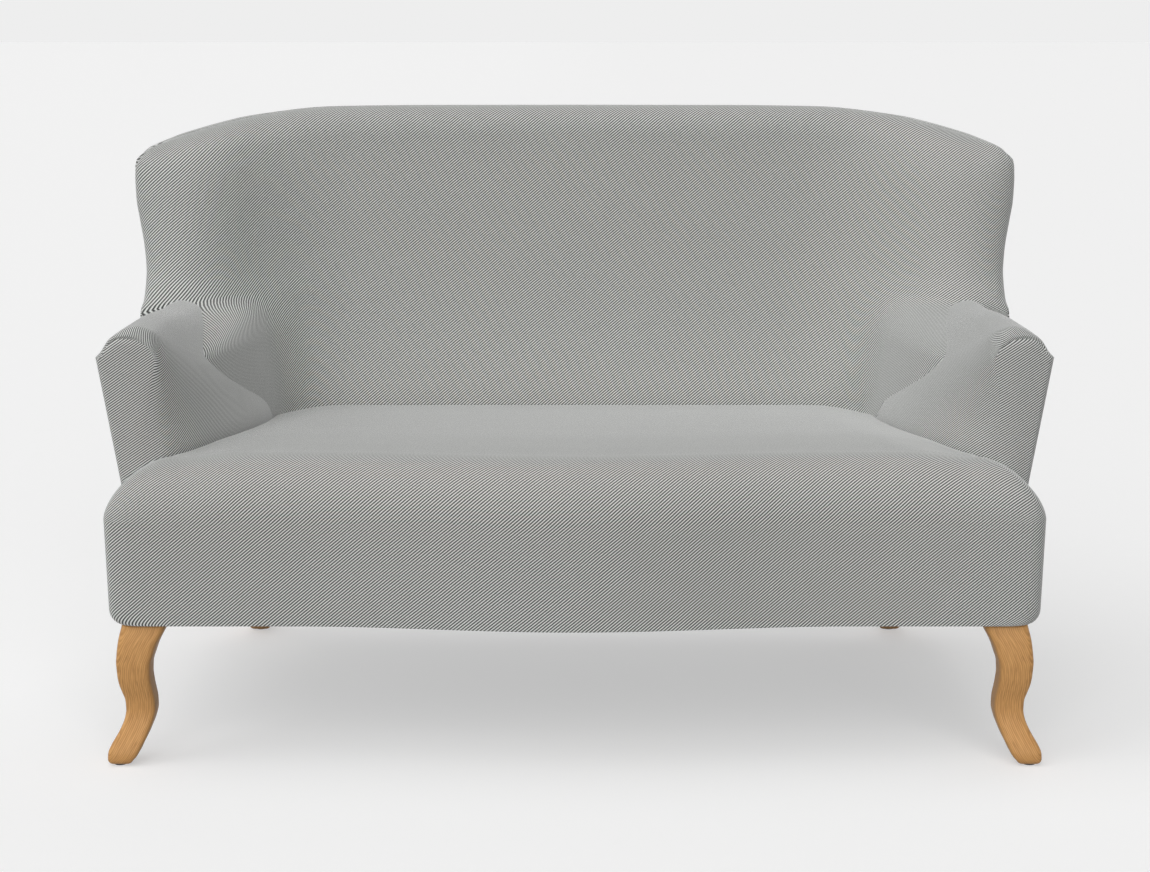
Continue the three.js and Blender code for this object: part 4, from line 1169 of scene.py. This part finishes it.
# Outside arm covers: one flat panel of twill on each side, from the bottom rail up to the arm seam
# and on up the outside of the wing.
outside_cloth = 0.003
seam_gap = 0.0009
corner_room = 0.006
step_least = 0.0004
outside_columns = 50
wing_columns = 60
outside_rows = 60
outside_pull = 1.25
outside_start = arm_front + arm_roll_depth * arm_rolls[-1] + seam_gap
wing_foot = wing_seam_depth * wing_seam_line(arm_seam_height / back_height)
tops = [
    (outside_start + (wing_foot - outside_start) * n / outside_columns, arm_seam_height)
    for n in range(outside_columns + 1)
]
for n in range(1, wing_columns + 1):
    z = arm_seam_height + (wing_corner_height - corner_room - arm_seam_height) * n / wing_columns
    y = wing_seam_depth * wing_seam_line(z / back_height) + seam_gap
    if y > tops[-1][0] + step_least:
        tops.append((y, z))
side_points = []
side_places = []
for y, top in tops:
    column = []
    for v in gathered(outside_rows, outside_pull):
        z = cover_bottom + (top - seam_gap - cover_bottom) * v
        column.append(Vector((shell_width(y, z), y, z)))
    side_points.append(column)
    side_places.append([(p.y, p.z) for p in column])
for word, side in (("right", 1), ("left", -1)):
    outside = bmesh.new()
    lay_side(outside, side_points, side_places, side, flip=side < 0)
    finish_cover(outside, f"{word}_outside_arm", [f"{word}_outside_arm_cover"], outside_cloth)


# Outside back: one panel of twill from wing seam to wing seam, round both rear corners and over the
# top edge to the crest seam.
rear_bottom = 0.740
rear_top = 0.765
rear_corner_radius = 0.110
crest_roll_height = 0.040
corner_start = 2
corner_end = 7
rear_station_steps = 6
rear_rows = 40
crest_roll_rows = 16
crest_shares = [
    1, 0.985, 0.962, 0.935, 0.905, 0.865, 0.81, 0.745, 0.67, 0.59, 0.5, 0.4, 0.27, 0.13, 0,
]
crest_share_line = smooth_line(list(enumerate(crest_shares)))


def rear_line(z):
    lean = rear_top - rear_bottom
    return rear_bottom + lean * (z - cover_bottom) / (back_height - cover_bottom)


def rear_column(i):
    """A column of the outside back on the right, from 0 at the side seam to 14 in the middle."""
    crest = crest_share_line(i)
    angle = math.radians(90 * clamp((i - corner_start) / (corner_end - corner_start)))
    start = wing_seam_depth + seam_gap * 2
    crest_x = wing_width(wing_corner_height) * crest
    crest_z = crest_height(crest_x)
    crest_y = start if i == 0 else crest_line(crest_x) + seam_gap * 2
    points = []
    for n in range(rear_rows + 1):
        z = cover_bottom + (crest_z - crest_roll_height - cover_bottom) * n / rear_rows
        wide = shell_width(wing_seam_depth, z)
        back_y = rear_line(z)
        if i < corner_start:
            x, y = wide, start + (back_y - rear_corner_radius - start) * i / corner_start
        elif i <= corner_end:
            x = wide - rear_corner_radius * (1 - math.cos(angle))
            y = back_y - rear_corner_radius * (1 - math.sin(angle))
        else:
            x, y = (wide - rear_corner_radius) * crest / crest_shares[corner_end], back_y
        points.append(Vector((x, y - front_room, z)))
    last = points[-1].copy()
    for n in range(1, crest_roll_rows + 1):
        roll = math.radians(90 * n / crest_roll_rows)
        inward = 1 - math.cos(roll)
        points.append(Vector((
            last.x + (crest_x - last.x) * inward,
            last.y + (crest_y - front_room - last.y) * inward,
            last.z + (crest_z - last.z) * math.sin(roll),
        )))
    return points


right_columns = [
    rear_column(n / rear_station_steps)
    for n in range((len(crest_shares) - 1) * rear_station_steps + 1)
]
left_columns = [
    [Vector((-p.x, p.y, p.z)) for p in column] for column in reversed(right_columns[:-1])
]
rear_points = right_columns + left_columns
rear_places = [[(-place[0], place[1]) for place in row] for row in measure(rear_points)]
rear = bmesh.new()
lay_grid(rear, rear_points, rear_places)
finish_cover(rear, "outside_back", ["outside_back_cover"], outside_cloth)


# Dust cloth: black bonded cloth tacked under the seat frame. It closes the frame from below.
dust = bpy.data.materials.new("black_bonded_cloth")
tree = new_tree(dust)
spot = Signal.add(tree, "ShaderNodeTexCoord", output="Object")
fibres = noise(tree, spot, 800.0, 5.0)
dimples = Signal.add(tree, "ShaderNodeTexVoronoi", values={"Vector": spot, "Scale": 450.0})
shade = fibres * 0.7 + dimples * 0.5
colour = Signal.add(
    tree, "ShaderNodeValToRGB",
    {"stops": [(0.30, (0.012, 0.012, 0.013)), (0.85, (0.045, 0.045, 0.048))]}, {0: shade}, "Color",
)
relief = Signal.add(
    tree, "ShaderNodeBump", values={"Height": shade, "Strength": 0.4, "Distance": 0.0003}
)
add_surface(tree, {
    "Base Color": colour, "Roughness": 0.95, "Normal": relief, "Specular IOR Level": 0.15,
})
soften_solid("dust_cloth", "dust_cover", dust)
